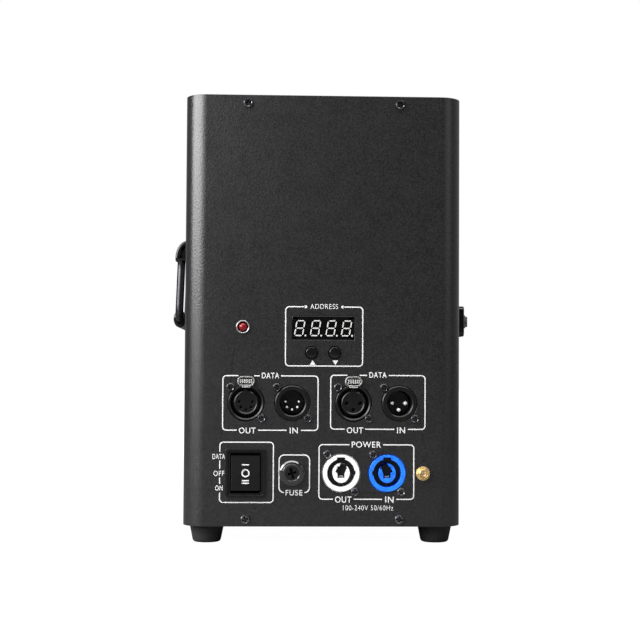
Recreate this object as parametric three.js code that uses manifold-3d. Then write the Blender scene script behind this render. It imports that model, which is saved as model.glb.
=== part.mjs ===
// Stage flame machine: a steel box that stands on the stage floor and sprays a
// column of flame out of its top. The rear panel carries the sockets and controls,
// a side door gives access to the can, and a solenoid lever presses the can's valve.
// Millimetres. +X is to the right seen from the rear, +Y points to the front of the
// machine and +Z up. The origin is on the floor, at the centre of the overall box.

import * as THREE from 'three';
import { mergeVertices } from 'three/addons/utils/BufferGeometryUtils.js';
import Module from 'manifold-3d';

const wasm = await Module();
wasm.setup();

// Clearances
const seatGap = 0.3;
const runGap = 0.4;
const overrun = 1;

// Housing
const bodyWidth = 180;
const bodyDepth = 230;
const bodyHeight = 279;
const cornerRadius = 14;
const sheet = 1.2;
const coverReturn = 18;
const coverLap = 10;
const topRecess = 1.5;
const plateFlange = 12;
const ventLength = 34;
const ventWidth = 4;
const ventPitch = 10;
const ventCount = 5;

// Feet
const footHeight = 12;
const footTopRadius = 11.5;
const footBottomRadius = 9;
const footEdgeRadius = 2;
const footScrewRadius = 2.2;
const footRecessRadius = 4.5;
const footRecessDepth = 6;
const footInsetX = 15;
const footInsetY = 22;

// Bulkhead between the can bay and the electronics
const bulkheadY = 50;
const partitionOffset = 39;
const bulkheadFlange = 12;

// Side door and its hinge
const doorSill = 26;
const doorHead = 24;
const doorFrontMargin = 40;
const doorCorner = 4;
const doorGap = 0.6;
const lipWidth = 5;
const lipFooting = 4;
const ribDepth = 4.5;
const ribHeight = 12;
const ribInset = 12;
const hingeLength = 130;
const knuckleCount = 5;
const knuckleRadius = 3;
const hingePinRadius = 1.7;
const hingePinHeadRadius = 2.6;
const hingePinHead = 0.9;
const hingeLeaf = 12;
const leafSheet = 1.2;

// Door latch
const latchHeight = 134.8;
const latchSetback = 11.2;
const latchWidth = 20;
const latchTall = 21;
const latchReach = 9.3;
const latchCorner = 3;
const latchBevel = 1.6;
const latchShaftRadius = 3;
const knobRadius = 5.6;
const knobReach = 3.3;
const knobRim = 0.8;
const knobWing = 2.2;
const knobWingReach = 1.1;
const camLength = 13;
const camWidth = 10;
const camThickness = 2;
const camStandoff = 2.5;
const shaftNut = 5;
const shaftNutHeight = 3;

// Drop handle
const handleHeight = 174.5;
const bracketSpacing = 120;
const bracketWidth = 16;
const hoodReach = 9.2;
const hoodHeight = 12;
const hoodSkirt = 2;
const hoodBevel = 1.4;
const bailRadius = 2.25;
const bailPivotReach = 6.2;
const bailPivotRise = 4.3;
const bailDrop = 43;
const bailLean = 1.5;
const bailBend = 4.5;
const bailStub = 9;
const bailSideGap = 0.8;
const gripThickness = 8.6;
const gripHeight = 12;
const gripInset = 5;
const gripBevel = 1.6;

// Aerosol can and what holds it
const canRadius = 33;
const canPlay = 1;
const canForward = 140;
const cupWall = 2;
const cupFloor = 2;
const cupHeight = 24;
const cupSill = 2.5;
const cupMouthOffset = 8;
const stemRadius = 8;
const stemLength = 7.5;
const clipHeight = 16;
const clipWall = 2;
const clipRise = 120;
const clipPad = 18;
const clipMouthAngle = 52;

// Press frame, lever and pin
const frameSheet = 2;
const deckHeight = 26;
const deckWidth = 54;
const deckLeft = 35;
const deckRight = 57;
const frameFoot = 9;
const leverThickness = 6;
const leverWidth = 14;
const leverClearance = 12;
const pivotOffset = 45;
const pivotBoss = 6;
const leverPinRadius = 2.5;
const leverPinHeadRadius = 4;
const leverPinHead = 1.5;
const leverBump = 5;

// Solenoid, plunger and return spring
const solenoidOffset = 63;
const plungerStroke = 7;
const yokeSheet = 2.5;
const yokeWidth = 34;
const yokeHeight = 44;
const yokeRise = 56;
const coilRadius = 15;
const plungerRadius = 6;
const plungerTop = 24;
const plungerCollarRadius = 10;
const plungerCollar = 2;
const neckRadius = 2.5;
const neckPlay = 0.7;
const plungerHeadRadius = 6;
const plungerHead = 2.5;
const springWire = 0.8;
const springRadius = 8;
const springTurns = 6;
const springPressed = 14;

// Flame mouth, nozzle and electrodes
const mouthRadius = 32;
const mouthWall = 1;
const mouthDepth = 30;
const mouthFlange = 6;
const nozzleRadius = 8;
const nozzleTipRadius = 5;
const nozzleRise = 8;
const nozzleTip = 4;
const nozzleBore = 1.5;
const nozzleFlangeRadius = 11;
const nozzleFlange = 2.5;
const valveSocketRadius = 4;
const valveSocketDepth = 8;
const nozzleSkirtRadius = 7;
const electrodeRadius = 1;
const electrodeOffset = 19;
const electrodeRise = 18;
const electrodeBend = 4;
const sparkGap = 4;
const electrodeTail = 9;
const insulatorRadius = 4;
const insulatorCollarRadius = 5.5;
const insulatorCollar = 3;
const insulatorRise = 11;
const insulatorDrop = 7;
const insulatorTopRadius = 2.8;

// Signal sockets
const signalColumnOuter = 49.5;
const signalColumnInner = 19.7;
const signalRow = 79.3;
const flangeWidth = 26;
const flangeHeight = 31;
const flangeSheet = 1.8;
const flangeCorner = 2;
const socketProud = 0.7;
const socketDepth = 22;
const socketFloor = 2;
const femaleRingRadius = 11.7;
const femaleBoreRadius = 10.2;
const insertRadius = 7.75;
const maleRingRadius = 11.4;
const maleBoreRadius = 8.15;
const ringChamfer = 0.9;
const contactCircle = 4.4;
const fineContactRadius = 0.75;
const wideContactRadius = 1.2;
const contactDepth = 9;
const pinLength = 11;
const keyWidth = 2.4;
const keyHeight = 1;

// Push tabs of the female sockets
const tabWidth = 11.3;
const tabHeight = 6.6;
const tabRise = 13.9;
const tabPlate = 1.4;
const tabProud = 2.3;
const tabTravel = 1.2;
const tabStemWidth = 5;
const tabStemHeight = 3;
const tabStemLength = 9;
const tabFoot = 2;

// Power sockets
const powerRow = 34.3;
const powerColumnOut = 12;
const powerColumnIn = 41.7;
const powerRingRadius = 12.15;
const powerBoreRadius = 8.6;
const powerDepth = 26;
const powerGrooveDepth = 18;
const powerCoreWidth = 12;
const powerCoreHeight = 14;
const powerCavityWidth = 5.2;
const powerCavityTop = 3.6;
const powerCavityBottom = 3.2;
const powerCavityDepth = 13;
const powerNotchWidth = 3.4;
const powerNotchReach = 5.2;
const topKeyWidth = 5.4;
const topKeyReach = 10.5;
const sideKeyWidth = 2.9;
const sideKeyReach = 9.9;

// Rocker switch
const switchColumn = 49.5;
const bezelWidth = 25.8;
const bezelHeight = 31;
const bezelProud = 2;
const bezelCorner = 1.6;
const switchBodyWidth = 22;
const switchBodyHeight = 27.8;
const switchDepth = 21;
const rockerWidth = 18.9;
const rockerHeight = 25;
const rockerPivotDepth = 1.5;
const rockerProud = 2.6;
const rockerDip = 0.5;
const rockerSkirt = 5;
const rockerAngle = 9;
const terminalWidth = 6.3;
const terminalThickness = 0.8;
const terminalLength = 8;
const terminalPitch = 8;

// Fuse holder
const fuseColumn = 19.7;
const fuseFlangeRadius = 8.25;
const fuseFlange = 2.2;
const fuseBodyRadius = 7;
const fuseBodyDepth = 34;
const fuseBoreRadius = 5.6;
const fuseBoreDepth = 28;
const fuseCapRadius = 6.35;
const fuseCapHead = 2.6;
const fuseCapBarrelRadius = 5.1;
const fuseCapBarrel = 8;
const fuseSlotLength = 10;
const fuseSlotCross = 6.4;
const fuseSlotWidth = 1.6;
const fuseSlotDepth = 1.2;
const fuseSlotAngle = 16;
const fuseLinkRadius = 2.6;
const fuseGlassRadius = 2.3;
const fuseLinkLength = 20;
const fuseEndCap = 5;
const fuseGrip = 4;

// Status lamp and antenna jack
const lampColumn = 51.9;
const lampRow = 128.1;
const lampBezelRadius = 4.6;
const lampBezelProud = 1.8;
const lampBezelWall = 1.3;
const lampNutRadius = 4.4;
const lampDepth = 9;
const lensRadius = 2.4;
const lensProud = 1.4;
const antennaColumn = 64.9;
const antennaRow = 34.2;
const antennaNut = 4.35;
const antennaNutHeight = 2.2;
const antennaRadius = 3.175;
const antennaReach = 6;
const antennaBoreRadius = 2.3;
const antennaBoreDepth = 4;
const antennaTail = 10;
const antennaFlangeRadius = 5;
const antennaFlange = 1.5;

// Display and buttons
const displayRow = 127.8;
const windowWidth = 40.5;
const windowHeight = 15.6;
const displayBoardWidth = 66;
const displayBoardTop = 142;
const displayBoardEdge = 5.8;
const displayBoardDepth = 12;
const boardThickness = 1.6;
const standoffRadius = 2.5;
const standoffInset = 4;
const buttonRow = 111.8;
const buttonColumn = 7.5;
const buttonRadius = 3.55;
const buttonProud = 2.1;
const buttonDome = 0.6;
const buttonFlangeRadius = 5;
const buttonFlange = 1.2;
const buttonTravel = 1;
const buttonHoleRadius = 4.25;
const tactSize = 6;
const tactHeight = 3.5;

// Electronics
const controlBoardWidth = 100;
const controlBoardHeight = 110;
const controlBoardRise = 130;
const controlBoardOffset = 26;
const controlBoardStandoff = 7;
const relayHeight = 15;
const relayWidth = 16;
const relayLength = 20;
const relayPitch = 20;
const relayCount = 3;
const capacitorRadius = 7;
const capacitorHeight = 16;
const capacitorPitch = 18;
const capacitorCount = 2;
const supplyWidth = 38;
const supplyLength = 110;
const supplyHeight = 52;
const supplyRise = 116;
const supplySetback = 60;
const supplyVent = 3;
const supplyVentPitch = 10;
const supplyVentCount = 9;
const igniterWidth = 28;
const igniterLength = 52;
const igniterHeight = 36;
const igniterRise = 190;
const igniterCorner = 4;
const igniterPostRadius = 3;
const igniterPostHeight = 7;

// Facet counts
const housingFacets = 6;
const cornerFacets = 3;
const ringFacets = 24;
const smallFacets = 12;
const pinFacets = 7;
const wireFacets = 6;
const bendFacets = 4;
const domeFacets = 3;
const springSteps = 7;
const springSides = 5;

// Places that follow from the sizes above
const bodyBottom = footHeight;
const bodyTop = footHeight + bodyHeight;
const halfWidth = bodyWidth / 2;
const innerHalf = halfWidth - sheet;
const innerFront = bodyDepth - sheet;
const seamY = bodyDepth - coverReturn;
const plateHalf = innerHalf - seatGap;
const plateRear = sheet + seatGap;
const plateFront = innerFront - seatGap;
const floorTop = bodyBottom + sheet;
const lidTop = bodyTop - topRecess;
const lidBottom = lidTop - sheet;
const partitionX = -partitionOffset;
const canBay = { x: 0, y: canForward };
const doorRear = bulkheadY + sheet + seatGap + lipFooting;
const doorFront = bodyDepth - doorFrontMargin;
const doorLow = bodyBottom + doorSill;
const doorHigh = bodyTop - doorHead;
const deckTop = floorTop + deckHeight;
const leverAxisZ = floorTop + leverClearance + leverThickness / 2;
const mouthFloorTop = lidTop - mouthDepth;
const nozzleBottom = mouthFloorTop - mouthWall - nozzleFlange - seatGap - valveSocketDepth;

// Outline helpers. Each returns a list of points in the plane.
function arc(cx, cy, radiusX, radiusY, start, end, facets) {
  const points = [];
  for (let i = 0; i <= facets; i += 1) {
    const angle = THREE.MathUtils.degToRad(start + ((end - start) * i) / facets);
    points.push(new THREE.Vector2(cx + radiusX * Math.cos(angle), cy + radiusY * Math.sin(angle)));
  }
  return points;
}

function circle(radius, facets, cx = 0, cy = 0) {
  return arc(cx, cy, radius, radius, 0, 360, facets).slice(0, facets);
}

function roundedRectangle(x0, x1, y0, y1, radius, facets = cornerFacets) {
  return [
    ...arc(x1 - radius, y1 - radius, radius, radius, 0, 90, facets),
    ...arc(x0 + radius, y1 - radius, radius, radius, 90, 180, facets),
    ...arc(x0 + radius, y0 + radius, radius, radius, 180, 270, facets),
    ...arc(x1 - radius, y0 + radius, radius, radius, 270, 360, facets),
  ];
}

function rectangle(x0, x1, y0, y1) {
  return [[x0, y0], [x1, y0], [x1, y1], [x0, y1]].map(([x, y]) => new THREE.Vector2(x, y));
}

function stadium(width, height, cx, cy, facets) {
  const end = height / 2;
  const run = width / 2 - end;
  return [
    ...arc(cx + run, cy, end, end, -90, 90, facets),
    ...arc(cx - run, cy, end, end, 90, 270, facets),
  ];
}

// Extrudes an outline from one height to another. bevel rounds both ends inside the outline.
function extrude(outline, from, to, holes = [], bevel = 0) {
  const shape = new THREE.Shape(outline);
  shape.holes = holes.map((hole) => new THREE.Path(hole));
  const geometry = new THREE.ExtrudeGeometry(shape, {
    depth: to - from - 2 * bevel,
    bevelEnabled: bevel > 0,
    bevelThickness: bevel,
    bevelSize: bevel,
    bevelOffset: -bevel,
    bevelSegments: 2,
  });
  return geometry.translate(0, 0, from + bevel);
}

// The outline is a plan, and the extrusion rises along Z.
const raise = extrude;

// The outline is drawn in x and z, and the extrusion runs into the machine along Y.
function inward(outline, from, to, holes = [], bevel = 0) {
  return extrude(outline, -to, -from, holes, bevel).rotateX(Math.PI / 2);
}

// The outline is drawn in y and z, and the extrusion runs along X.
function across(outline, from, to, holes = [], bevel = 0) {
  return extrude(outline, from, to, holes, bevel).rotateX(Math.PI / 2).rotateZ(Math.PI / 2);
}

function block([x0, x1], [y0, y1], [z0, z1]) {
  const geometry = new THREE.BoxGeometry(x1 - x0, y1 - y0, z1 - z0);
  return geometry.translate((x0 + x1) / 2, (y0 + y1) / 2, (z0 + z1) / 2);
}

// Revolves a profile of [radius, height] pairs about the Y axis.
function turnY(profile, facets = ringFacets) {
  return new THREE.LatheGeometry(profile.map(([r, h]) => new THREE.Vector2(r, h)), facets);
}

function turnZ(profile, facets = ringFacets) {
  return turnY(profile, facets).rotateX(Math.PI / 2);
}

function turnX(profile, facets = ringFacets) {
  return turnY(profile, facets).rotateZ(-Math.PI / 2);
}

function rod(radius, from, to) {
  return [[0, from], [radius, from], [radius, to], [0, to]];
}

// Turns a mesh into a solid: shared vertices are merged, collapsed triangles dropped, and a
// mesh whose faces point in is turned inside out.
function toSolid(geometry) {
  const plain = geometry.clone();
  plain.deleteAttribute('normal');
  plain.deleteAttribute('uv');
  const merged = mergeVertices(plain);
  const { array } = merged.attributes.position;
  const triangles = [];
  let volume = 0;
  const corner = (i) => new THREE.Vector3().fromArray(array, 3 * i);
  for (let i = 0; i < merged.index.count; i += 3) {
    const [a, b, c] = [0, 1, 2].map((k) => merged.index.getX(i + k));
    if (a !== b && b !== c && c !== a) {
      triangles.push([a, b, c]);
      volume += corner(a).dot(corner(b).cross(corner(c)));
    }
  }
  const outward = volume > 0 ? triangles : triangles.map(([a, b, c]) => [a, c, b]);
  return new wasm.Manifold(new wasm.Mesh({
    numProp: 3,
    vertProperties: new Float32Array(array),
    triVerts: new Uint32Array(outward.flat()),
  }));
}

function toGeometry(solid) {
  const mesh = solid.getMesh();
  const geometry = new THREE.BufferGeometry();
  geometry.setAttribute('position', new THREE.BufferAttribute(mesh.vertProperties, mesh.numProp));
  geometry.setIndex(new THREE.BufferAttribute(mesh.triVerts, 1));
  geometry.computeVertexNormals();
  return geometry;
}

function joined(...pieces) {
  return toGeometry(pieces.map(toSolid).reduce((whole, part) => whole.add(part)));
}

function cut(piece, ...tools) {
  return toGeometry(tools.map(toSolid).reduce((rest, tool) => rest.subtract(tool), toSolid(piece)));
}

function common(piece, tool) {
  return toGeometry(toSolid(piece).intersect(toSolid(tool)));
}

// A route of straight runs with rounded bends, which a section can be swept along.
class BentRoute extends THREE.Curve {
  constructor(corners, bendRadius) {
    super();
    this.points = [corners[0]];
    for (let i = 1; i < corners.length - 1; i += 1) {
      const back = corners[i - 1].clone().sub(corners[i]).normalize();
      const ahead = corners[i + 1].clone().sub(corners[i]).normalize();
      const half = back.angleTo(ahead) / 2;
      const start = corners[i].clone().addScaledVector(back, bendRadius / Math.tan(half));
      const toCentre = back.clone().add(ahead).normalize();
      const centre = corners[i].clone().addScaledVector(toCentre, bendRadius / Math.sin(half));
      const turnAxis = back.clone().cross(ahead).normalize();
      const sweep = Math.PI - 2 * half;
      for (let k = 0; k <= bendFacets; k += 1) {
        const arm = start.clone().sub(centre).applyAxisAngle(turnAxis, (-sweep * k) / bendFacets);
        this.points.push(centre.clone().add(arm));
      }
    }
    this.points.push(corners[corners.length - 1]);
    this.steps = this.points.length - 1;
  }

  getPoint(t, target = new THREE.Vector3()) {
    const place = Math.min(t * this.steps, this.steps - Number.EPSILON);
    const i = Math.min(Math.floor(place), this.steps - 1);
    return target.copy(this.points[i]).lerp(this.points[i + 1], place - i);
  }

  getPointAt(u, target) {
    return this.getPoint(u, target);
  }

  getTangentAt(u, target = new THREE.Vector3()) {
    const i = Math.round(u * this.steps);
    const here = this.points[i];
    const back = i > 0 ? here.clone().sub(this.points[i - 1]).normalize() : null;
    const ahead = i < this.steps ? this.points[i + 1].clone().sub(here).normalize() : null;
    return target.copy(back ?? ahead).add(ahead ?? back).normalize();
  }
}

function sweep(section, route) {
  return new THREE.ExtrudeGeometry(new THREE.Shape(section), {
    steps: route.steps,
    extrudePath: route,
  });
}

// Finishes
const powderCoat = { color: 0x2f2f31, roughness: 0.62, metalness: 0.1 };
const blackRubber = { color: 0x19191a, roughness: 0.85, metalness: 0 };
const blackPlastic = { color: 0x161617, roughness: 0.42, metalness: 0 };
const glossPlastic = { color: 0x0e0e0f, roughness: 0.18, metalness: 0 };
const greyPlastic = { color: 0xe9e9ea, roughness: 0.4, metalness: 0 };
const bluePlastic = { color: 0x0a6cf0, roughness: 0.35, metalness: 0 };
const blackSteel = { color: 0x141415, roughness: 0.3, metalness: 0.6 };
const zincSteel = { color: 0xb9bcc0, roughness: 0.4, metalness: 1 };
const stainless = { color: 0xc4c4c2, roughness: 0.32, metalness: 1 };
const chrome = { color: 0xe4e4e6, roughness: 0.08, metalness: 1 };
const brass = { color: 0xc9a24b, roughness: 0.3, metalness: 1 };
const ceramic = { color: 0xf1ece2, roughness: 0.35, metalness: 0 };
const redLens = { color: 0xb5121b, roughness: 0.12, metalness: 0 };
const circuitGreen = { color: 0x1e5b37, roughness: 0.5, metalness: 0 };
const aluminium = { color: 0xb4b6b8, roughness: 0.45, metalness: 1 };
const coilWrap = { color: 0x7a2f1c, roughness: 0.5, metalness: 0.2 };
const glass = { color: 0xdfe8ea, roughness: 0.05, metalness: 0 };

const machine = new THREE.Group();

function add(name, geometry, finish, parent = machine) {
  const mesh = new THREE.Mesh(toGeometry(toSolid(geometry)), new THREE.MeshStandardMaterial(finish));
  mesh.name = name;
  parent.add(mesh);
  return mesh;
}

function groupAt(x, y, z, parent = machine) {
  const group = new THREE.Group();
  group.position.set(x, y, z);
  parent.add(group);
  return group;
}

// The folded shell of the housing: one tube with rounded corners, parted at the seam.
function shellTube(from, to) {
  const outer = roundedRectangle(-halfWidth, halfWidth, 0, bodyDepth, cornerRadius, housingFacets);
  const inner = roundedRectangle(
    -innerHalf,
    innerHalf,
    sheet,
    innerFront,
    cornerRadius - sheet,
    housingFacets,
  );
  const tube = raise(outer, bodyBottom, bodyTop, [inner]);
  const part = block(
    [-halfWidth - overrun, halfWidth + overrun],
    [from, to],
    [bodyBottom - overrun, bodyTop + overrun],
  );
  return common(tube, part);
}

const hingeAxis = { x: halfWidth + runGap + knuckleRadius, y: doorFront + doorGap + leafSheet };
const hingeLow = (doorLow + doorHigh) / 2 - hingeLength / 2;
const knucklePitch = hingeLength / knuckleCount;

// Knuckles of one side of the hinge: the fixed leaf has the first, third and fifth.
function knuckles(first) {
  const parts = [];
  for (let i = first; i < knuckleCount; i += 2) {
    const low = hingeLow + i * knucklePitch + seatGap / 2;
    const high = hingeLow + (i + 1) * knucklePitch - seatGap / 2;
    const toDoor = first === 1 ? -1 : 1;
    const barrel = raise(
      circle(knuckleRadius, smallFacets),
      low,
      high,
      [circle(hingePinRadius + seatGap, pinFacets)],
    ).translate(hingeAxis.x, hingeAxis.y, 0);
    const reach = [hingeAxis.y, hingeAxis.y + toDoor * (knuckleRadius + leafSheet)];
    const tongue = cut(
      block([halfWidth + runGap, halfWidth + runGap + leafSheet], reach.sort((a, b) => a - b), [low, high]),
      raise(circle(hingePinRadius + seatGap, pinFacets), low, high).translate(hingeAxis.x, hingeAxis.y, 0),
    );
    parts.push(barrel, tongue);
  }
  return parts;
}

function leafPlate(side) {
  const near = hingeAxis.y + side * (knuckleRadius + runGap);
  const far = hingeAxis.y + side * hingeLeaf;
  return block(
    [halfWidth - sheet / 2, halfWidth + runGap + leafSheet],
    [Math.min(near, far), Math.max(near, far)],
    [hingeLow, hingeLow + hingeLength],
  );
}

// The lip is welded inside the opening and stops the door.
function doorLip() {
  const frame = (grow) => roundedRectangle(
    doorRear - grow,
    doorFront + grow,
    doorLow - grow,
    doorHigh + grow,
    doorCorner,
  );
  const back = innerHalf - seatGap - sheet;
  const strip = across(frame(lipFooting), back, innerHalf - seatGap, [frame(-lipWidth)]);
  const footing = across(frame(lipFooting), back, innerHalf + sheet / 2, [frame(0)]);
  return joined(strip, footing);
}

const panelCut = [-overrun, sheet + overrun];

function socketHole(radius, x, z) {
  return inward(circle(radius + seatGap, ringFacets, x, bodyBottom + z), ...panelCut);
}

function tabOutline(margin, x, z) {
  return stadium(tabWidth + 2 * margin, tabHeight + 2 * margin, x, z, domeFacets);
}

function rearWrap() {
  const opening = across(
    roundedRectangle(doorRear, doorFront, doorLow, doorHigh, doorCorner),
    innerHalf - overrun,
    halfWidth + overrun,
  );
  const signalZ = bodyBottom + signalRow;
  const windowZ = bodyBottom + displayRow;
  const switchZ = bodyBottom + powerRow;
  const lampHole = lensRadius + lampBezelWall + seatGap;
  const openings = [
    socketHole(femaleRingRadius, -signalColumnOuter, signalRow),
    socketHole(maleRingRadius, -signalColumnInner, signalRow),
    socketHole(femaleRingRadius, signalColumnInner, signalRow),
    socketHole(maleRingRadius, signalColumnOuter, signalRow),
    inward(tabOutline(runGap, -signalColumnOuter, signalZ + tabRise), ...panelCut),
    inward(tabOutline(runGap, signalColumnInner, signalZ + tabRise), ...panelCut),
    socketHole(powerRingRadius, powerColumnOut, powerRow),
    socketHole(powerRingRadius, powerColumnIn, powerRow),
    inward(rectangle(
      -switchColumn - switchBodyWidth / 2 - seatGap,
      -switchColumn + switchBodyWidth / 2 + seatGap,
      switchZ - switchBodyHeight / 2 - seatGap,
      switchZ + switchBodyHeight / 2 + seatGap,
    ), ...panelCut),
    inward(circle(fuseBodyRadius + seatGap, smallFacets, -fuseColumn, switchZ), ...panelCut),
    inward(rectangle(
      -windowWidth / 2,
      windowWidth / 2,
      windowZ - windowHeight / 2,
      windowZ + windowHeight / 2,
    ), ...panelCut),
    inward(circle(lampHole, smallFacets, -lampColumn, bodyBottom + lampRow), ...panelCut),
    inward(
      circle(antennaRadius + seatGap, smallFacets, antennaColumn, bodyBottom + antennaRow),
      ...panelCut,
    ),
    ...[-1, 1].map((side) => inward(
      circle(buttonHoleRadius, smallFacets, side * buttonColumn, bodyBottom + buttonRow),
      ...panelCut,
    )),
  ];
  const shell = cut(shellTube(0, seamY), opening, ...openings);
  return joined(shell, doorLip(), leafPlate(1), ...knuckles(0));
}

function frontCover() {
  const shell = shellTube(seamY + seatGap, bodyDepth);
  const low = floorTop + plateFlange + seatGap;
  const high = lidBottom - plateFlange - seatGap;
  const laps = [-1, 1].flatMap((side) => {
    const outer = side * (innerHalf - seatGap);
    const inner = side * (innerHalf - seatGap - sheet);
    const bridge = side * (innerHalf + sheet / 2);
    const span = (a, b) => [Math.min(a, b), Math.max(a, b)];
    return [
      block(span(inner, outer), [seamY - coverLap, seamY + 2 * sheet], [low, high]),
      block(span(inner, bridge), [seamY + seatGap, seamY + 2 * sheet], [low, high]),
    ];
  });
  return joined(shell, ...laps);
}

function plateOutline() {
  return roundedRectangle(-plateHalf, plateHalf, plateRear, plateFront, cornerRadius - sheet - seatGap);
}

// The two flanges of a plate stand against the rear panel and the front cover.
function plateFlanges(low, high) {
  const half = innerHalf - cornerRadius;
  return [
    block([-half, half], [plateRear, plateRear + sheet], [low, high]),
    block([-half, half], [plateFront - sheet, plateFront], [low, high]),
  ];
}

function topPlate() {
  const hole = circle(mouthRadius + mouthWall + seatGap, ringFacets, canBay.x, canBay.y);
  return joined(
    raise(plateOutline(), lidBottom, lidTop, [hole]),
    ...plateFlanges(lidTop - plateFlange, lidTop),
  );
}

function basePlate() {
  const vents = [];
  for (let i = 0; i < ventCount; i += 1) {
    const y = bodyDepth / 2 + (i - (ventCount - 1) / 2) * ventPitch;
    const x = -(halfWidth + partitionOffset) / 2;
    vents.push(rectangle(x - ventLength / 2, x + ventLength / 2, y - ventWidth / 2, y + ventWidth / 2));
  }
  return joined(
    raise(plateOutline(), bodyBottom, floorTop, vents),
    ...plateFlanges(bodyBottom, floorTop + plateFlange - sheet),
  );
}

// A moulded rubber foot, narrower at the floor, with a recess for its screw.
function foot() {
  const edgeCentre = footBottomRadius - footEdgeRadius;
  const edge = arc(edgeCentre, footEdgeRadius, footEdgeRadius, footEdgeRadius, -90, 0, domeFacets - 1);
  return turnZ([
    [footScrewRadius, footHeight],
    [footScrewRadius, footRecessDepth],
    [footRecessRadius, footRecessDepth],
    [footRecessRadius, 0],
    ...edge.map((point) => [point.x, point.y]),
    [footTopRadius, footHeight],
    [footScrewRadius, footHeight],
  ], smallFacets);
}

add('rear_wrap', rearWrap(), powderCoat);
add('front_cover', frontCover(), powderCoat);
add('top_plate', topPlate(), powderCoat);
add('base_plate', basePlate(), powderCoat);

const footPlaces = {
  foot_rear_left: [-(halfWidth - footInsetX), footInsetY],
  foot_rear_right: [halfWidth - footInsetX, footInsetY],
  foot_front_left: [-(halfWidth - footInsetX), bodyDepth - footInsetY],
  foot_front_right: [halfWidth - footInsetX, bodyDepth - footInsetY],
};
for (const [name, [x, y]] of Object.entries(footPlaces)) {
  add(name, foot(), blackRubber, groupAt(x, y, 0));
}

// One bent sheet closes the can bay off from the electronics behind it and beside it.
function bulkhead() {
  const low = floorTop + seatGap;
  const high = lidBottom - seatGap;
  const right = innerHalf - seatGap;
  const front = plateFront - sheet - seatGap;
  const topLimit = high - plateFlange;
  const leverSlot = block(
    [partitionX - overrun, partitionX + sheet + overrun],
    [canBay.y - leverWidth, canBay.y + leverWidth],
    [low - overrun, deckTop],
  );
  return cut(
    joined(
      block([partitionX, right], [bulkheadY, bulkheadY + sheet], [low, high]),
      block([partitionX, partitionX + sheet], [bulkheadY, front], [low, high]),
      block([right - sheet, right], [bulkheadY - bulkheadFlange, bulkheadY + sheet], [low, topLimit]),
      block([partitionX - bulkheadFlange, partitionX + sheet], [front - sheet, front], [low, high]),
    ),
    leverSlot,
  );
}

add('bulkhead', bulkhead(), zincSteel);

// Side door: a flat panel with two stiffening ribs, its hinge leaf and the latch hole.
const latchPlace = { y: doorRear + latchSetback, z: bodyBottom + latchHeight };

function canDoor() {
  const panel = across(
    roundedRectangle(
      doorRear + doorGap,
      doorFront - doorGap,
      doorLow + doorGap,
      doorHigh - doorGap,
      doorCorner - doorGap,
    ),
    innerHalf,
    halfWidth,
    [circle(latchShaftRadius + seatGap, smallFacets, latchPlace.y, latchPlace.z)],
  );
  const inset = lipWidth + ribInset;
  const ribs = [doorLow + inset, doorHigh - inset - ribHeight].map((low) => block(
    [innerHalf - ribDepth, innerHalf + sheet / 2],
    [doorRear + inset, doorFront - inset],
    [low, low + ribHeight],
  ));
  const leaf = leafPlate(-1);
  return joined(panel, ...ribs, leaf, ...knuckles(1));
}

add('can_door', canDoor(), powderCoat);

const pinTop = hingeLow + hingeLength + seatGap;
const pinBottom = hingeLow - seatGap;
add('hinge_pin', turnZ([
  [0, pinBottom - hingePinHead],
  [hingePinHeadRadius, pinBottom - hingePinHead],
  [hingePinHeadRadius, pinBottom],
  [hingePinRadius, pinBottom],
  [hingePinRadius, pinTop],
  [hingePinHeadRadius, pinTop],
  [hingePinHeadRadius, pinTop + hingePinHead],
  [0, pinTop + hingePinHead],
], pinFacets), blackSteel, groupAt(hingeAxis.x, hingeAxis.y, 0));

// Latch: a square housing outside the door, a turn knob on a shaft, and a cam inside.
const latch = groupAt(halfWidth, latchPlace.y, latchPlace.z);
const knobSeat = latchReach + seatGap;
const camFar = -sheet - camStandoff;
const camNear = camFar - camThickness;

function latchHousing() {
  const half = { y: latchWidth / 2, z: latchTall / 2 };
  return cut(
    across(roundedRectangle(-half.y, half.y, -half.z, half.z, latchCorner), 0, latchReach, [], latchBevel),
    turnX(rod(latchShaftRadius + seatGap, -overrun, latchReach + overrun), smallFacets),
  );
}

function latchKnob() {
  const dome = arc(0, knobSeat + knobRim, knobRadius, knobReach - knobRim, 0, 90, domeFacets);
  const body = turnX([
    [0, camNear - seatGap - shaftNutHeight],
    [latchShaftRadius, camNear - seatGap - shaftNutHeight],
    [latchShaftRadius, knobSeat],
    [knobRadius, knobSeat],
    ...dome.map((point) => [Math.max(point.x, 0), point.y]),
  ], smallFacets);
  const wing = across(
    stadium(2 * knobRadius, knobWing, 0, 0, domeFacets),
    knobSeat + knobRim,
    knobSeat + knobReach + knobWingReach,
  ).rotateX(Math.PI / 2);
  const nut = turnX(rod(shaftNut, camNear - seatGap - shaftNutHeight, camNear - seatGap), 6);
  return joined(body, wing, nut);
}

function latchCam() {
  const half = camWidth / 2;
  const outline = [
    ...arc(0, 0, half, half, 180, 360, 2 * cornerFacets),
    ...arc(half - latchCorner, camLength - latchCorner, latchCorner, latchCorner, 0, 90, 2),
    ...arc(latchCorner - half, camLength - latchCorner, latchCorner, latchCorner, 90, 180, 2),
  ];
  return across(outline, camNear, camFar, [circle(latchShaftRadius + seatGap, smallFacets)]);
}

add('latch_housing', latchHousing(), glossPlastic, latch);
add('latch_knob', latchKnob(), blackSteel, latch);
add('latch_cam', latchCam(), zincSteel, latch);

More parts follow.
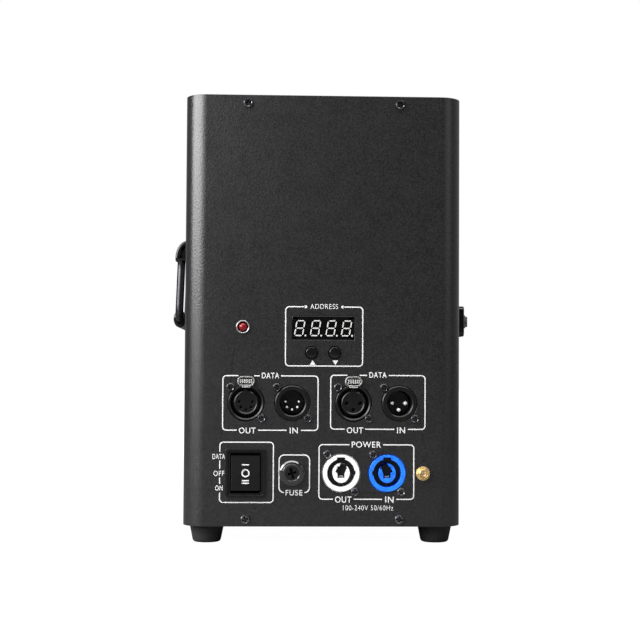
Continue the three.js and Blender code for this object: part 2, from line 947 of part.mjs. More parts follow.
// Drop handle on the left side: two hooded brackets, a bent rod and a moulded grip.
const handleZ = bodyBottom + handleHeight;
const pivotZ = handleZ + bailPivotRise;
const pivotX = -halfWidth - bailPivotReach;
const armY = bracketSpacing / 2 - bracketWidth / 2 - bailSideGap - bailBend;

function hood() {
  const outline = [
    ...arc(0, hoodSkirt, -hoodReach, hoodHeight, 0, 90, 2 * domeFacets),
    new THREE.Vector2(overrun + hoodBevel, hoodSkirt + hoodHeight),
    new THREE.Vector2(overrun + hoodBevel, 0),
    new THREE.Vector2(-hoodReach, 0),
  ];
  const solid = inward(outline, -bracketWidth / 2, bracketWidth / 2, [], hoodBevel);
  const wall = block(
    [0, hoodReach],
    [-bracketWidth, bracketWidth],
    [-hoodHeight, 2 * hoodHeight],
  );
  return cut(solid, wall);
}

// The bore faces the other bracket.
function handleBracket(side) {
  const bore = turnY(rod(
    bailRadius + seatGap,
    bracketWidth / 2 - bailStub,
    bracketWidth / 2 + overrun,
  ), smallFacets);
  bore.rotateZ(side > 0 ? 0 : Math.PI).translate(-bailPivotReach, 0, bailPivotRise);
  return cut(hood(), bore);
}

for (const [name, side] of [['handle_bracket_rear', -1], ['handle_bracket_front', 1]]) {
  const place = groupAt(-halfWidth, bodyDepth / 2 + (side * bracketSpacing) / 2, handleZ);
  add(name, handleBracket(-side), glossPlastic, place);
}

function bail() {
  const stubEnd = bracketSpacing / 2 - bracketWidth / 2 + bailStub - seatGap;
  const corners = [
    [0, -stubEnd, 0],
    [0, -armY, 0],
    [-bailLean, -armY, -bailDrop],
    [-bailLean, armY, -bailDrop],
    [0, armY, 0],
    [0, stubEnd, 0],
  ].map((corner) => new THREE.Vector3(...corner));
  return sweep(circle(bailRadius, pinFacets), new BentRoute(corners, bailBend));
}

function grip() {
  const half = armY - gripInset;
  const outline = arc(0, 0, gripThickness / 2, gripHeight / 2, 0, 360, smallFacets).slice(0, smallFacets);
  return cut(
    inward(outline, -half, half, [], gripBevel),
    turnY(rod(bailRadius + seatGap, -half - overrun, half + overrun), pinFacets),
  );
}

const handle = groupAt(pivotX, bodyDepth / 2, pivotZ);
add('handle_bail', bail(), blackSteel, handle);
add('handle_grip', grip(), glossPlastic, groupAt(-bailLean, 0, -bailDrop, handle));

// Flame mouth: a round stainless cup let into the top plate, with the burner nozzle in
// its floor and two spark electrodes beside it.
const mouth = groupAt(canBay.x, canBay.y, lidTop);
const cupOuter = mouthRadius + mouthWall;

function flameMouth() {
  const profile = [
    [cupOuter + mouthFlange, mouthWall],
    [cupOuter + mouthFlange, 0],
    [cupOuter, 0],
    [cupOuter, -mouthDepth - mouthWall],
    [nozzleRadius + seatGap, -mouthDepth - mouthWall],
    [nozzleRadius + seatGap, -mouthDepth],
    [mouthRadius, -mouthDepth],
    [mouthRadius, mouthWall],
    [cupOuter + mouthFlange, mouthWall],
  ];
  const holes = [-1, 1].map((side) => turnZ(rod(
    insulatorRadius + seatGap,
    -mouthDepth - mouthWall - overrun,
    -mouthDepth + overrun,
  ), smallFacets).translate(side * electrodeOffset, 0, 0));
  return cut(turnZ(profile), ...holes);
}

function burnerNozzle() {
  const under = -mouthDepth - mouthWall - seatGap;
  const bottom = nozzleBottom - lidTop;
  const shoulder = -mouthDepth + nozzleRise - nozzleTip;
  return turnZ([
    [nozzleBore, -mouthDepth + nozzleRise],
    [nozzleTipRadius, -mouthDepth + nozzleRise],
    [nozzleRadius, shoulder],
    [nozzleRadius, under],
    [nozzleFlangeRadius, under],
    [nozzleFlangeRadius, under - nozzleFlange],
    [nozzleSkirtRadius, under - nozzleFlange],
    [nozzleSkirtRadius, bottom],
    [valveSocketRadius, bottom],
    [valveSocketRadius, bottom + valveSocketDepth - nozzleFlange],
    [nozzleBore, bottom + valveSocketDepth],
    [nozzleBore, -mouthDepth + nozzleRise],
  ], smallFacets);
}

function insulator() {
  return turnZ([
    [electrodeRadius + seatGap, insulatorRise],
    [insulatorTopRadius, insulatorRise],
    [insulatorCollarRadius, insulatorCollar],
    [insulatorCollarRadius, seatGap],
    [insulatorRadius, seatGap],
    [insulatorRadius, -insulatorDrop],
    [electrodeRadius + seatGap, -insulatorDrop],
    [electrodeRadius + seatGap, insulatorRise],
  ], smallFacets);
}

// Each electrode leans in from its insulator to the spark gap over the nozzle.
function electrode(side) {
  const corners = [
    [0, 0, -electrodeTail],
    [0, 0, electrodeRise],
    [-side * (electrodeOffset - sparkGap / 2), 0, electrodeRise],
  ].map((corner) => new THREE.Vector3(...corner));
  return sweep(circle(electrodeRadius, wireFacets), new BentRoute(corners, electrodeBend));
}

add('flame_mouth', flameMouth(), stainless, mouth);
add('burner_nozzle', burnerNozzle(), brass, mouth);
for (const [name, side] of [['left', -1], ['right', 1]]) {
  const place = groupAt(side * electrodeOffset, 0, -mouthDepth, mouth);
  add(`insulator_${name}`, insulator(), ceramic, place);
  add(`electrode_${name}`, electrode(side), stainless, place);
}

// Press frame: a bridge over the lever that guides the lift cup's stem.
function pressFrame() {
  const half = deckWidth / 2;
  const deck = raise(
    rectangle(-deckLeft, deckRight, -half, half),
    deckTop - frameSheet,
    deckTop,
    [circle(stemRadius + seatGap, smallFacets)],
  );
  const sides = [-1, 1].flatMap((side) => {
    const span = (a, b) => [Math.min(side * a, side * b), Math.max(side * a, side * b)];
    return [
      block([-deckLeft, deckRight], span(half - frameSheet, half), [floorTop, deckTop]),
      block(
        [-deckLeft, deckRight],
        span(half - frameSheet, half + frameFoot),
        [floorTop, floorTop + frameSheet],
      ),
    ];
  });
  const pinHole = turnY(rod(leverPinRadius + seatGap, -deckWidth, deckWidth), smallFacets)
    .translate(pivotOffset, 0, leverAxisZ);
  return cut(joined(deck, ...sides), pinHole);
}

const press = groupAt(canBay.x, canBay.y, 0);
add('press_frame', pressFrame(), zincSteel, press);

const pinHalf = deckWidth / 2 + seatGap;
add('lever_pin', turnY([
  [0, -pinHalf - leverPinHead],
  [leverPinHeadRadius, -pinHalf - leverPinHead],
  [leverPinHeadRadius, -pinHalf],
  [leverPinRadius, -pinHalf],
  [leverPinRadius, pinHalf],
  [leverPinHeadRadius, pinHalf],
  [leverPinHeadRadius, pinHalf + leverPinHead],
  [0, pinHalf + leverPinHead],
], smallFacets), zincSteel, groupAt(pivotOffset, 0, leverAxisZ, press));

// Lift cup: its stem rides in the deck, and its wall is open towards the door.
const stemBottom = deckTop + seatGap - stemLength;

function liftCup() {
  const floor = deckTop + seatGap;
  const inner = canRadius + canPlay;
  const outer = inner + cupWall;
  const profile = [
    [0, stemBottom],
    [stemRadius, stemBottom],
    [stemRadius, floor],
    [outer, floor],
    [outer, floor + cupHeight],
    [inner, floor + cupHeight],
    [inner, floor + cupFloor],
    [0, floor + cupFloor],
  ];
  const mouthSide = block(
    [cupMouthOffset, outer + overrun],
    [-outer - overrun, outer + overrun],
    [floor + cupFloor + cupSill, floor + cupHeight + overrun],
  );
  return cut(turnZ(profile), mouthSide);
}

add('lift_cup', liftCup(), aluminium, press);

// Can clip: a spring ring, open towards the door, riveted to the partition.
function canClip() {
  const inner = canRadius + canPlay;
  const outer = inner + clipWall;
  const wall = [
    ...arc(0, 0, outer, outer, clipMouthAngle, 360 - clipMouthAngle, ringFacets - 2 * cornerFacets),
    ...arc(0, 0, inner, inner, 360 - clipMouthAngle, clipMouthAngle, ringFacets - 2 * cornerFacets),
  ];
  const low = floorTop + clipRise;
  const padFace = partitionX + sheet + seatGap - canBay.x;
  return joined(
    raise(wall, low, low + clipHeight),
    block([padFace, -inner - clipWall / 2], [-clipPad / 2, clipPad / 2], [low, low + clipHeight]),
  );
}

add('can_clip', canClip(), blackSteel, press);

// Lever: pivots at the door side, lifts the cup in its middle and ends in a fork that
// the plunger's neck pulls up.
const plungerArm = pivotOffset + solenoidOffset + canBay.x;
const cupArm = pivotOffset;
const forkReach = neckRadius + runGap + leverThickness;

function pressLever() {
  const top = leverThickness / 2;
  const bumpHeight = stemBottom - seatGap - leverAxisZ - top;
  const bar = block([-plungerArm - forkReach, 0], [-leverWidth / 2, leverWidth / 2], [-top, top]);
  const boss = turnY(rod(pivotBoss, -leverWidth / 2, leverWidth / 2), smallFacets);
  const bump = inward(
    [
      ...arc(-cupArm, top, leverBump, bumpHeight, 0, 180, 2 * domeFacets),
      new THREE.Vector2(-cupArm - leverBump, 0),
      new THREE.Vector2(-cupArm + leverBump, 0),
    ],
    -leverWidth / 2,
    leverWidth / 2,
  );
  const slotHalf = neckRadius + runGap;
  const slot = block(
    [-plungerArm - forkReach - overrun, -plungerArm + slotHalf],
    [-slotHalf, slotHalf],
    [-leverThickness, leverThickness],
  );
  const bore = turnY(rod(leverPinRadius + seatGap, -leverWidth, leverWidth), smallFacets);
  return cut(joined(bar, boss, bump), slot, bore);
}

add('press_lever', pressLever(), zincSteel, groupAt(pivotOffset, 0, leverAxisZ, press));

// Solenoid: a coil in a bent yoke on the partition. Its plunger hangs down to the lever.
const solenoid = groupAt(canBay.x - solenoidOffset, canBay.y, 0);
const yokeBottom = floorTop + yokeRise;
const yokeTop = yokeBottom + yokeHeight;
const yokeBack = partitionX - seatGap - (canBay.x - solenoidOffset);
const springSpan = springPressed + plungerStroke;
const forkTop = leverAxisZ + leverThickness / 2 + neckPlay;
const forkBottom = leverAxisZ - leverThickness / 2 - neckPlay;
const collarTop = yokeBottom - springSpan - seatGap;

function solenoidBody() {
  const left = -yokeWidth / 2;
  const half = yokeWidth / 2;
  const bore = turnZ(rod(plungerRadius + runGap, yokeBottom - overrun, yokeTop - yokeSheet), smallFacets);
  const frame = joined(
    block([left, yokeBack], [-half, half], [yokeBottom, yokeBottom + yokeSheet]),
    block([left, yokeBack], [-half, half], [yokeTop - yokeSheet, yokeTop]),
    block([yokeBack - yokeSheet, yokeBack], [-half, half], [yokeBottom, yokeTop]),
    turnZ(rod(coilRadius, yokeBottom + yokeSheet / 2, yokeTop - yokeSheet / 2), smallFacets),
  );
  return cut(frame, bore);
}

function plunger() {
  const top = yokeBottom + plungerTop;
  return turnZ([
    [0, forkBottom - plungerHead],
    [plungerHeadRadius, forkBottom - plungerHead],
    [plungerHeadRadius, forkBottom],
    [neckRadius, forkBottom],
    [neckRadius, forkTop],
    [plungerRadius, forkTop],
    [plungerRadius, collarTop - plungerCollar],
    [plungerCollarRadius, collarTop - plungerCollar],
    [plungerCollarRadius, collarTop],
    [plungerRadius, collarTop],
    [plungerRadius, top],
    [0, top],
  ], smallFacets);
}

// One tube wound as a helix about the plunger.
class Helix extends THREE.Curve {
  getPoint(t, target = new THREE.Vector3()) {
    const angle = 2 * Math.PI * springTurns * t;
    const rise = springSpan - 2 * springWire - 2 * seatGap;
    const low = collarTop + seatGap + springWire;
    return target.set(springRadius * Math.cos(angle), springRadius * Math.sin(angle), low + rise * t);
  }
}

function returnSpring() {
  return new THREE.ExtrudeGeometry(new THREE.Shape(circle(springWire, springSides)), {
    steps: springTurns * springSteps,
    extrudePath: new Helix(),
  });
}

add('solenoid_body', solenoidBody(), coilWrap, solenoid);
add('plunger', plunger(), stainless, solenoid);
add('return_spring', returnSpring(), zincSteel, solenoid);

// Signal sockets: a shell with a flange behind the panel, and an insert with its contacts.
const flangeRear = sheet + seatGap;

function socketFlange() {
  return inward(
    roundedRectangle(-flangeWidth / 2, flangeWidth / 2, -flangeHeight / 2, flangeHeight / 2, flangeCorner, 2),
    flangeRear,
    flangeRear + flangeSheet,
  );
}

function signalShell(ringRadius, boreRadius, withTab) {
  const body = turnY([
    [0, socketDepth],
    [0, socketDepth - socketFloor],
    [boreRadius, socketDepth - socketFloor],
    [boreRadius, -socketProud + ringChamfer],
    [boreRadius + ringChamfer / 2, -socketProud],
    [ringRadius - ringChamfer / 2, -socketProud],
    [ringRadius, -socketProud + ringChamfer / 2],
    [ringRadius, socketDepth],
    [0, socketDepth],
  ]);
  const bore = turnY(rod(boreRadius, -overrun, socketDepth - socketFloor));
  const flange = cut(socketFlange(), bore);
  if (!withTab) {
    return joined(body, flange);
  }
  const slotEnds = [-socketProud - overrun, tabStemLength + tabTravel + overrun];
  const slot = inward(tabOutline(runGap, 0, tabRise), ...slotEnds);
  const neck = block(
    [-tabStemWidth / 2 - runGap, tabStemWidth / 2 + runGap],
    slotEnds,
    [boreRadius - overrun, tabRise],
  );
  return cut(joined(body, flange), slot, neck);
}

function contacts(angles, radius, from, to) {
  return angles.map((degrees) => {
    const angle = THREE.MathUtils.degToRad(degrees);
    return turnY(rod(radius, from, to), wireFacets)
      .translate(contactCircle * Math.cos(angle), 0, contactCircle * Math.sin(angle));
  });
}

// The key rib at the top of a female insert goes into the plug's keyway.
function femaleInsert(angles, radius) {
  const length = socketDepth - socketFloor - seatGap;
  const key = block([-keyWidth / 2, keyWidth / 2], [0, length], [0, insertRadius + keyHeight]);
  return cut(
    joined(turnY(rod(insertRadius, 0, length)), key),
    ...contacts(angles, radius, -overrun, contactDepth),
  );
}

function maleInsert(angles, radius) {
  const floor = socketDepth - socketFloor - seatGap;
  const base = floor - pinLength / 2;
  const disc = turnY(rod(maleBoreRadius - seatGap, base, floor));
  return joined(disc, ...contacts(angles, radius, base - pinLength, base + overrun));
}

function pushTab() {
  const plate = inward(tabOutline(0, 0, tabRise), -tabProud, -tabProud + tabPlate, [], tabPlate / 3);
  const stem = block(
    [-tabStemWidth / 2, tabStemWidth / 2],
    [-tabProud + tabPlate / 2, tabStemLength],
    [tabRise - tabStemHeight / 2, tabRise + tabStemHeight / 2],
  );
  const footPlate = block(
    [-tabStemWidth / 2, tabStemWidth / 2],
    [tabStemLength - tabFoot, tabStemLength],
    [tabRise - tabHeight / 2, tabRise + tabHeight / 2],
  );
  return joined(plate, stem, footPlate);
}

const fivePole = { name: 'five_pole', angles: [10, -40, -90, -140, 170], contact: fineContactRadius };
const threePole = { name: 'three_pole', angles: [0, -90, 180], contact: wideContactRadius };

function signalOutlet(kind, x) {
  const place = groupAt(x, 0, bodyBottom + signalRow);
  add(`${kind.name}_out_shell`, signalShell(femaleRingRadius, femaleBoreRadius, true), blackPlastic, place);
  add(`${kind.name}_out_insert`, femaleInsert(kind.angles, kind.contact), blackPlastic, place);
  add(`${kind.name}_out_push_tab`, pushTab(), stainless, place);
}

function signalInlet(kind, x) {
  const place = groupAt(x, 0, bodyBottom + signalRow);
  add(`${kind.name}_in_shell`, signalShell(maleRingRadius, maleBoreRadius, false), blackPlastic, place);
  add(`${kind.name}_in_insert`, maleInsert(kind.angles, kind.contact), blackPlastic, place);
}

signalOutlet(fivePole, -signalColumnOuter);
signalInlet(fivePole, -signalColumnInner);
signalOutlet(threePole, signalColumnInner);
signalInlet(threePole, signalColumnOuter);

// Twist-lock power sockets: a ring with two keyways round an oval core. side is the side
// of the small keyway, which keeps an inlet plug out of the outlet.
function powerShell(side) {
  const body = turnY([
    [0, powerDepth],
    [0, powerGrooveDepth],
    [powerBoreRadius, powerGrooveDepth],
    [powerBoreRadius, -socketProud + ringChamfer / 2],
    [powerBoreRadius + ringChamfer / 2, -socketProud],
    [powerRingRadius - ringChamfer, -socketProud],
    [powerRingRadius, -socketProud + ringChamfer],
    [powerRingRadius, powerDepth],
    [0, powerDepth],
  ]);
  const bore = turnY(rod(powerBoreRadius, -overrun, powerGrooveDepth));
  const topKey = block(
    [-topKeyWidth / 2, topKeyWidth / 2],
    [-socketProud - overrun, powerGrooveDepth],
    [0, topKeyReach],
  );
  const sideKey = block(
    [Math.min(0, side * sideKeyReach), Math.max(0, side * sideKeyReach)],
    [-socketProud - overrun, powerGrooveDepth],
    [-sideKeyWidth / 2, sideKeyWidth / 2],
  );
  return cut(joined(body, cut(socketFlange(), bore)), topKey, sideKey);
}

function powerCore(side) {
  const length = powerGrooveDepth - seatGap;
  const outline = arc(0, 0, powerCoreWidth / 2, powerCoreHeight / 2, 0, 360, ringFacets).slice(0, ringFacets);
  const half = powerCavityWidth / 2;
  const cavity = inward(
    [
      ...arc(0, half - powerCavityBottom, half, half, 180, 360, 2 * cornerFacets),
      new THREE.Vector2(half, powerCavityTop),
      new THREE.Vector2(-half, powerCavityTop),
    ],
    -overrun,
    powerCavityDepth,
  );
  const notch = block(
    [-powerNotchWidth / 2, powerNotchWidth / 2],
    [-overrun, powerCavityDepth],
    [0, powerNotchReach],
  ).rotateY((side * Math.PI) / 6);
  return cut(inward(outline, 0, length), cavity, notch);
}

for (const [name, x, side, finish] of [
  ['power_out', powerColumnOut, 1, greyPlastic],
  ['power_in', powerColumnIn, -1, bluePlastic],
]) {
  const place = groupAt(x, 0, bodyBottom + powerRow);
  add(`${name}_shell`, powerShell(side), finish, place);
  add(`${name}_core`, powerCore(side), finish, place);
}

// Rocker switch: a snap-in bezel with its body behind the panel, and a curved rocker.
const switchPlace = groupAt(-switchColumn, 0, bodyBottom + powerRow);
const rockerReach = rockerHeight / 2;

function rockerFrame() {
  const window = { x: rockerWidth / 2 + runGap, z: rockerReach + runGap };
  const rockerSwing = rockerReach * Math.sin(THREE.MathUtils.degToRad(rockerAngle));
  const bezel = inward(
    roundedRectangle(-bezelWidth / 2, bezelWidth / 2, -bezelHeight / 2, bezelHeight / 2, bezelCorner, 2),
    -bezelProud,
    -seatGap,
    [],
    bezelProud / 4,
  );
  const body = inward(
    rectangle(-switchBodyWidth / 2, switchBodyWidth / 2, -switchBodyHeight / 2, switchBodyHeight / 2),
    -bezelProud / 2,
    switchDepth,
  );
  const well = block(
    [-window.x, window.x],
    [-bezelProud - overrun, rockerPivotDepth + rockerSkirt + rockerSwing],
    [-window.z, window.z],
  );
  const terminals = [-1, 0, 1].map((step) => block(
    [-terminalWidth / 2, terminalWidth / 2],
    [switchDepth - overrun, switchDepth + terminalLength],
    [step * terminalPitch - terminalThickness / 2, step * terminalPitch + terminalThickness / 2],
  ));
  return joined(cut(joined(bezel, body), well), ...terminals);
}

// The rocker's ends follow a circle about its pivot, and its face dips in the middle.
function rocker() {
  const face = -rockerProud;
  const outline = [
    new THREE.Vector2(face, -rockerReach),
    new THREE.Vector2(face + rockerDip, 0),
    new THREE.Vector2(face, rockerReach),
    new THREE.Vector2(rockerPivotDepth, rockerReach),
    new THREE.Vector2(rockerPivotDepth + rockerSkirt, rockerReach / 2),
    new THREE.Vector2(rockerPivotDepth + rockerSkirt, -rockerReach / 2),
    new THREE.Vector2(rockerPivotDepth, -rockerReach),
  ];
  const slab = across(outline, -rockerWidth / 2, rockerWidth / 2);
  const drum = turnX(rod(rockerReach, -rockerWidth, rockerWidth), ringFacets + smallFacets)
    .translate(0, rockerPivotDepth, 0);
  return common(slab, drum);
}

add('rocker_frame', rockerFrame(), blackPlastic, switchPlace);
add('rocker', rocker(), glossPlastic, switchPlace);

// Fuse holder: a turned body with its cap, which grips the end of the fuse link.
const fusePlace = groupAt(-fuseColumn, 0, bodyBottom + powerRow);

add('fuse_holder', turnY([
  [0, fuseBoreDepth],
  [fuseBoreRadius, fuseBoreDepth],
  [fuseBoreRadius, -fuseFlange],
  [fuseFlangeRadius - ringChamfer, -fuseFlange],
  [fuseFlangeRadius, -fuseFlange + ringChamfer],
  [fuseFlangeRadius, -seatGap],
  [fuseBodyRadius, -seatGap],
  [fuseBodyRadius, fuseBoreDepth],
  [fuseBoreRadius, fuseBodyDepth],
  [0, fuseBodyDepth],
], smallFacets), glossPlastic, fusePlace);

function fuseCap() {
  const seat = -fuseFlange - seatGap;
  const face = seat - fuseCapHead;
  const gripRadius = fuseLinkRadius + seatGap;
  const body = turnY([
    [0, face],
    [fuseCapRadius - ringChamfer, face],
    [fuseCapRadius, face + ringChamfer],
    [fuseCapRadius, seat],
    [fuseCapBarrelRadius, seat],
    [fuseCapBarrelRadius, fuseCapBarrel],
    [gripRadius, fuseCapBarrel],
    [gripRadius, fuseCapBarrel - fuseGrip],
    [0, fuseCapBarrel - fuseGrip],
  ], smallFacets);
  const slots = [[fuseSlotLength, 90], [fuseSlotCross, 0]].map(([length, turn]) => block(
    [-length / 2, length / 2],
    [face - overrun, face + fuseSlotDepth],
    [-fuseSlotWidth / 2, fuseSlotWidth / 2],
  ).rotateY(THREE.MathUtils.degToRad(turn - fuseSlotAngle)));
  return cut(body, ...slots);
}

add('fuse_cap', fuseCap(), glossPlastic, fusePlace);

const linkStart = fuseCapBarrel - fuseGrip + seatGap;
add('fuse_link', turnY([
  [0, 0],
  [fuseLinkRadius, 0],
  [fuseLinkRadius, fuseEndCap],
  [fuseGlassRadius, fuseEndCap],
  [fuseGlassRadius, fuseLinkLength - fuseEndCap],
  [fuseLinkRadius, fuseLinkLength - fuseEndCap],
  [fuseLinkRadius, fuseLinkLength],
  [0, fuseLinkLength],
], smallFacets), glass, groupAt(0, linkStart, 0, fusePlace));

// Status lamp: a chrome bezel with its nut behind the panel, and a domed lens.
const lampPlace = groupAt(-lampColumn, 0, bodyBottom + lampRow);
const lampBarrel = lensRadius + lampBezelWall;

add('lamp_bezel', turnY([
  [lensRadius + seatGap, -lampBezelProud + ringChamfer],
  [lampBezelRadius - ringChamfer, -lampBezelProud],
  [lampBezelRadius, -lampBezelProud + ringChamfer],
  [lampBezelRadius, -seatGap],
  [lampBarrel, -seatGap],
  [lampBarrel, flangeRear],
  [lampNutRadius + lampBezelWall, flangeRear],
  [lampNutRadius + lampBezelWall, flangeRear + flangeSheet],
  [lampBarrel, flangeRear + flangeSheet],
  [lampBarrel, lampDepth],
  [lensRadius + seatGap, lampDepth],
  [lensRadius + seatGap, -lampBezelProud + ringChamfer],
], smallFacets), chrome, lampPlace);

const lensDome = arc(0, 0, lensRadius, lensProud, 0, 90, domeFacets);
add('lamp_lens', turnY([
  [0, lampDepth],
  [lensRadius, lampDepth],
  ...lensDome.map((point) => [Math.max(point.x, 0), -point.y]),
], smallFacets), redLens, lampPlace);

// Antenna jack: a gold-plated threaded barrel held by a hexagon nut.
function antennaJack() {
  const barrel = turnY([
    [0, antennaTail],
    [antennaRadius, antennaTail],
    [antennaRadius, flangeRear + antennaFlange],
    [antennaFlangeRadius, flangeRear + antennaFlange],
    [antennaFlangeRadius, flangeRear],
    [antennaRadius, flangeRear],
    [antennaRadius, -antennaReach],
    [antennaBoreRadius, -antennaReach],
    [antennaBoreRadius, -antennaReach + antennaBoreDepth],
    [0, -antennaReach + antennaBoreDepth],
  ], smallFacets);
  const nut = cut(
    turnY(rod(antennaNut, -antennaNutHeight, -seatGap), 6),
    turnY(rod(antennaBoreRadius, -antennaReach, -antennaReach + antennaBoreDepth), smallFacets),
  );
  return joined(barrel, nut);
}

add('antenna_jack', antennaJack(), brass, groupAt(antennaColumn, 0, bodyBottom + antennaRow));

// Display board: it stands on four posts behind the panel, and carries the four-digit
// display in the window and the two switches under the buttons.
function displayBoard() {
  const half = displayBoardWidth / 2;
  const low = bodyBottom + buttonRow - tactSize / 2 - displayBoardEdge;
  const high = bodyBottom + displayBoardTop;
  const board = inward(
    rectangle(-half, half, low, high),
    displayBoardDepth,
    displayBoardDepth + boardThickness,
  );
  const windowZ = bodyBottom + displayRow;
  const digits = block(
    [-windowWidth / 2 + seatGap, windowWidth / 2 - seatGap],
    [seatGap, displayBoardDepth + boardThickness / 2],
    [windowZ - windowHeight / 2 + seatGap, windowZ + windowHeight / 2 - seatGap],
  );
  const posts = [-1, 1].flatMap((side) => [low + standoffInset, high - standoffInset].map((z) => turnY(
    rod(standoffRadius, sheet + seatGap, displayBoardDepth + boardThickness / 2),
    wireFacets,
  ).translate(side * (half - standoffInset), 0, z)));
  const switches = [-1, 1].map((side) => block(
    [side * buttonColumn - tactSize / 2, side * buttonColumn + tactSize / 2],
    [displayBoardDepth - tactHeight, displayBoardDepth + boardThickness / 2],
    [bodyBottom + buttonRow - tactSize / 2, bodyBottom + buttonRow + tactSize / 2],
  ));
  return joined(board, digits, ...posts, ...switches);
}

add('display_board', displayBoard(), circuitGreen);

// A button: its flange stays behind the panel, and its tail ends over the board's switch.
function button() {
  const dome = arc(0, -buttonProud + buttonDome, buttonRadius, -buttonDome, 0, 90, domeFacets);
  const flangeFront = sheet + seatGap;
  const tail = displayBoardDepth - tactHeight - buttonTravel - seatGap;
  return turnY([
    [0, tail],
    [tactSize / 3, tail],
    [tactSize / 3, flangeFront + buttonFlange],
    [buttonFlangeRadius, flangeFront + buttonFlange],
    [buttonFlangeRadius, flangeFront],
    [buttonRadius, flangeFront],
    ...dome.map((point) => [Math.max(point.x, 0), point.y]),
  ], smallFacets);
}

for (const [name, side] of [['button_up', -1], ['button_down', 1]]) {
  add(name, button(), glossPlastic, groupAt(side * buttonColumn, 0, bodyBottom + buttonRow));
}

// Control board on the bulkhead, with relays and capacitors towards the rear panel.
function controlBoard() {
  const left = controlBoardOffset - controlBoardWidth / 2;
  const right = controlBoardOffset + controlBoardWidth / 2;
  const low = bodyBottom + controlBoardRise;
  const high = low + controlBoardHeight;
  const face = bulkheadY - controlBoardStandoff - boardThickness;
  const board = inward(rectangle(left, right, low, high), face, face + boardThickness);
  const posts = [left + standoffInset, right - standoffInset].flatMap((x) => (
    [low + standoffInset, high - standoffInset].map((z) => turnY(
      rod(standoffRadius, face + boardThickness / 2, bulkheadY - seatGap),
      wireFacets,
    ).translate(x, 0, z))
  ));
  const relays = [];
  for (let i = 0; i < relayCount; i += 1) {
    const x = controlBoardOffset + (i - (relayCount - 1) / 2) * relayPitch;
    relays.push(block(
      [x - relayWidth / 2, x + relayWidth / 2],
      [face - relayHeight, face + boardThickness / 2],
      [high - 2 * standoffInset - relayLength, high - 2 * standoffInset],
    ));
  }
  const capacitors = [];
  for (let i = 0; i < capacitorCount; i += 1) {
    const x = controlBoardOffset + (i - (capacitorCount - 1) / 2) * capacitorPitch;
    const can = rod(capacitorRadius, face - capacitorHeight, face + boardThickness / 2);
    const z = low + 2 * standoffInset + capacitorRadius;
    capacitors.push(turnY(can, smallFacets).translate(x, 0, z));
  }
  return joined(board, ...posts, ...relays, ...capacitors);
}

add('control_board', controlBoard(), circuitGreen);

// Power supply: a vented case on the left side wall.
function powerSupply() {
  const left = -innerHalf + seatGap;
  const low = bodyBottom + supplyRise;
  const high = low + supplyHeight;
  const vents = [];
  for (let i = 0; i < supplyVentCount; i += 1) {
    const y = supplySetback + supplyLength / 2 + (i - (supplyVentCount - 1) / 2) * supplyVentPitch;
    vents.push(block(
      [left + supplyWidth - sheet, left + supplyWidth + overrun],
      [y - supplyVent / 2, y + supplyVent / 2],
      [low + supplyHeight / 4, high - supplyHeight / 4],
    ));
  }
  return cut(
    block([left, left + supplyWidth], [supplySetback, supplySetback + supplyLength], [low, high]),
    ...vents,
  );
}

add('power_supply', powerSupply(), aluminium);

// Igniter module: a potted high-voltage block on the partition, with two posts.
function igniterModule() {
  const right = partitionX - seatGap;
  const low = bodyBottom + igniterRise;
  const rear = canBay.y - igniterLength / 2;
  const front = canBay.y + igniterLength / 2;
  const body = raise(
    roundedRectangle(right - igniterWidth, right, rear, front, igniterCorner, 2),
    low,
    low + igniterHeight,
  );
  const posts = [-1, 1].map((side) => turnZ(
    rod(igniterPostRadius, low + igniterHeight - overrun, low + igniterHeight + igniterPostHeight),
    pinFacets,
  ).translate(right - igniterWidth / 2, canBay.y + (side * igniterLength) / 4, 0));
  return joined(body, ...posts);
}

add('igniter_module', igniterModule(), blackPlastic);

// The origin goes to the floor, under the centre of the overall box.
machine.updateMatrixWorld(true);
const overall = new THREE.Box3().setFromObject(machine, true);
const centre = overall.getCenter(new THREE.Vector3());
machine.position.set(-centre.x, -centre.y, -overall.min.z);
machine.updateMatrixWorld(true);

export default machine;
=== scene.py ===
import bmesh
import bpy
import numpy as np
from mathutils import Matrix, Vector
from mathutils.geometry import delaunay_2d_cdt


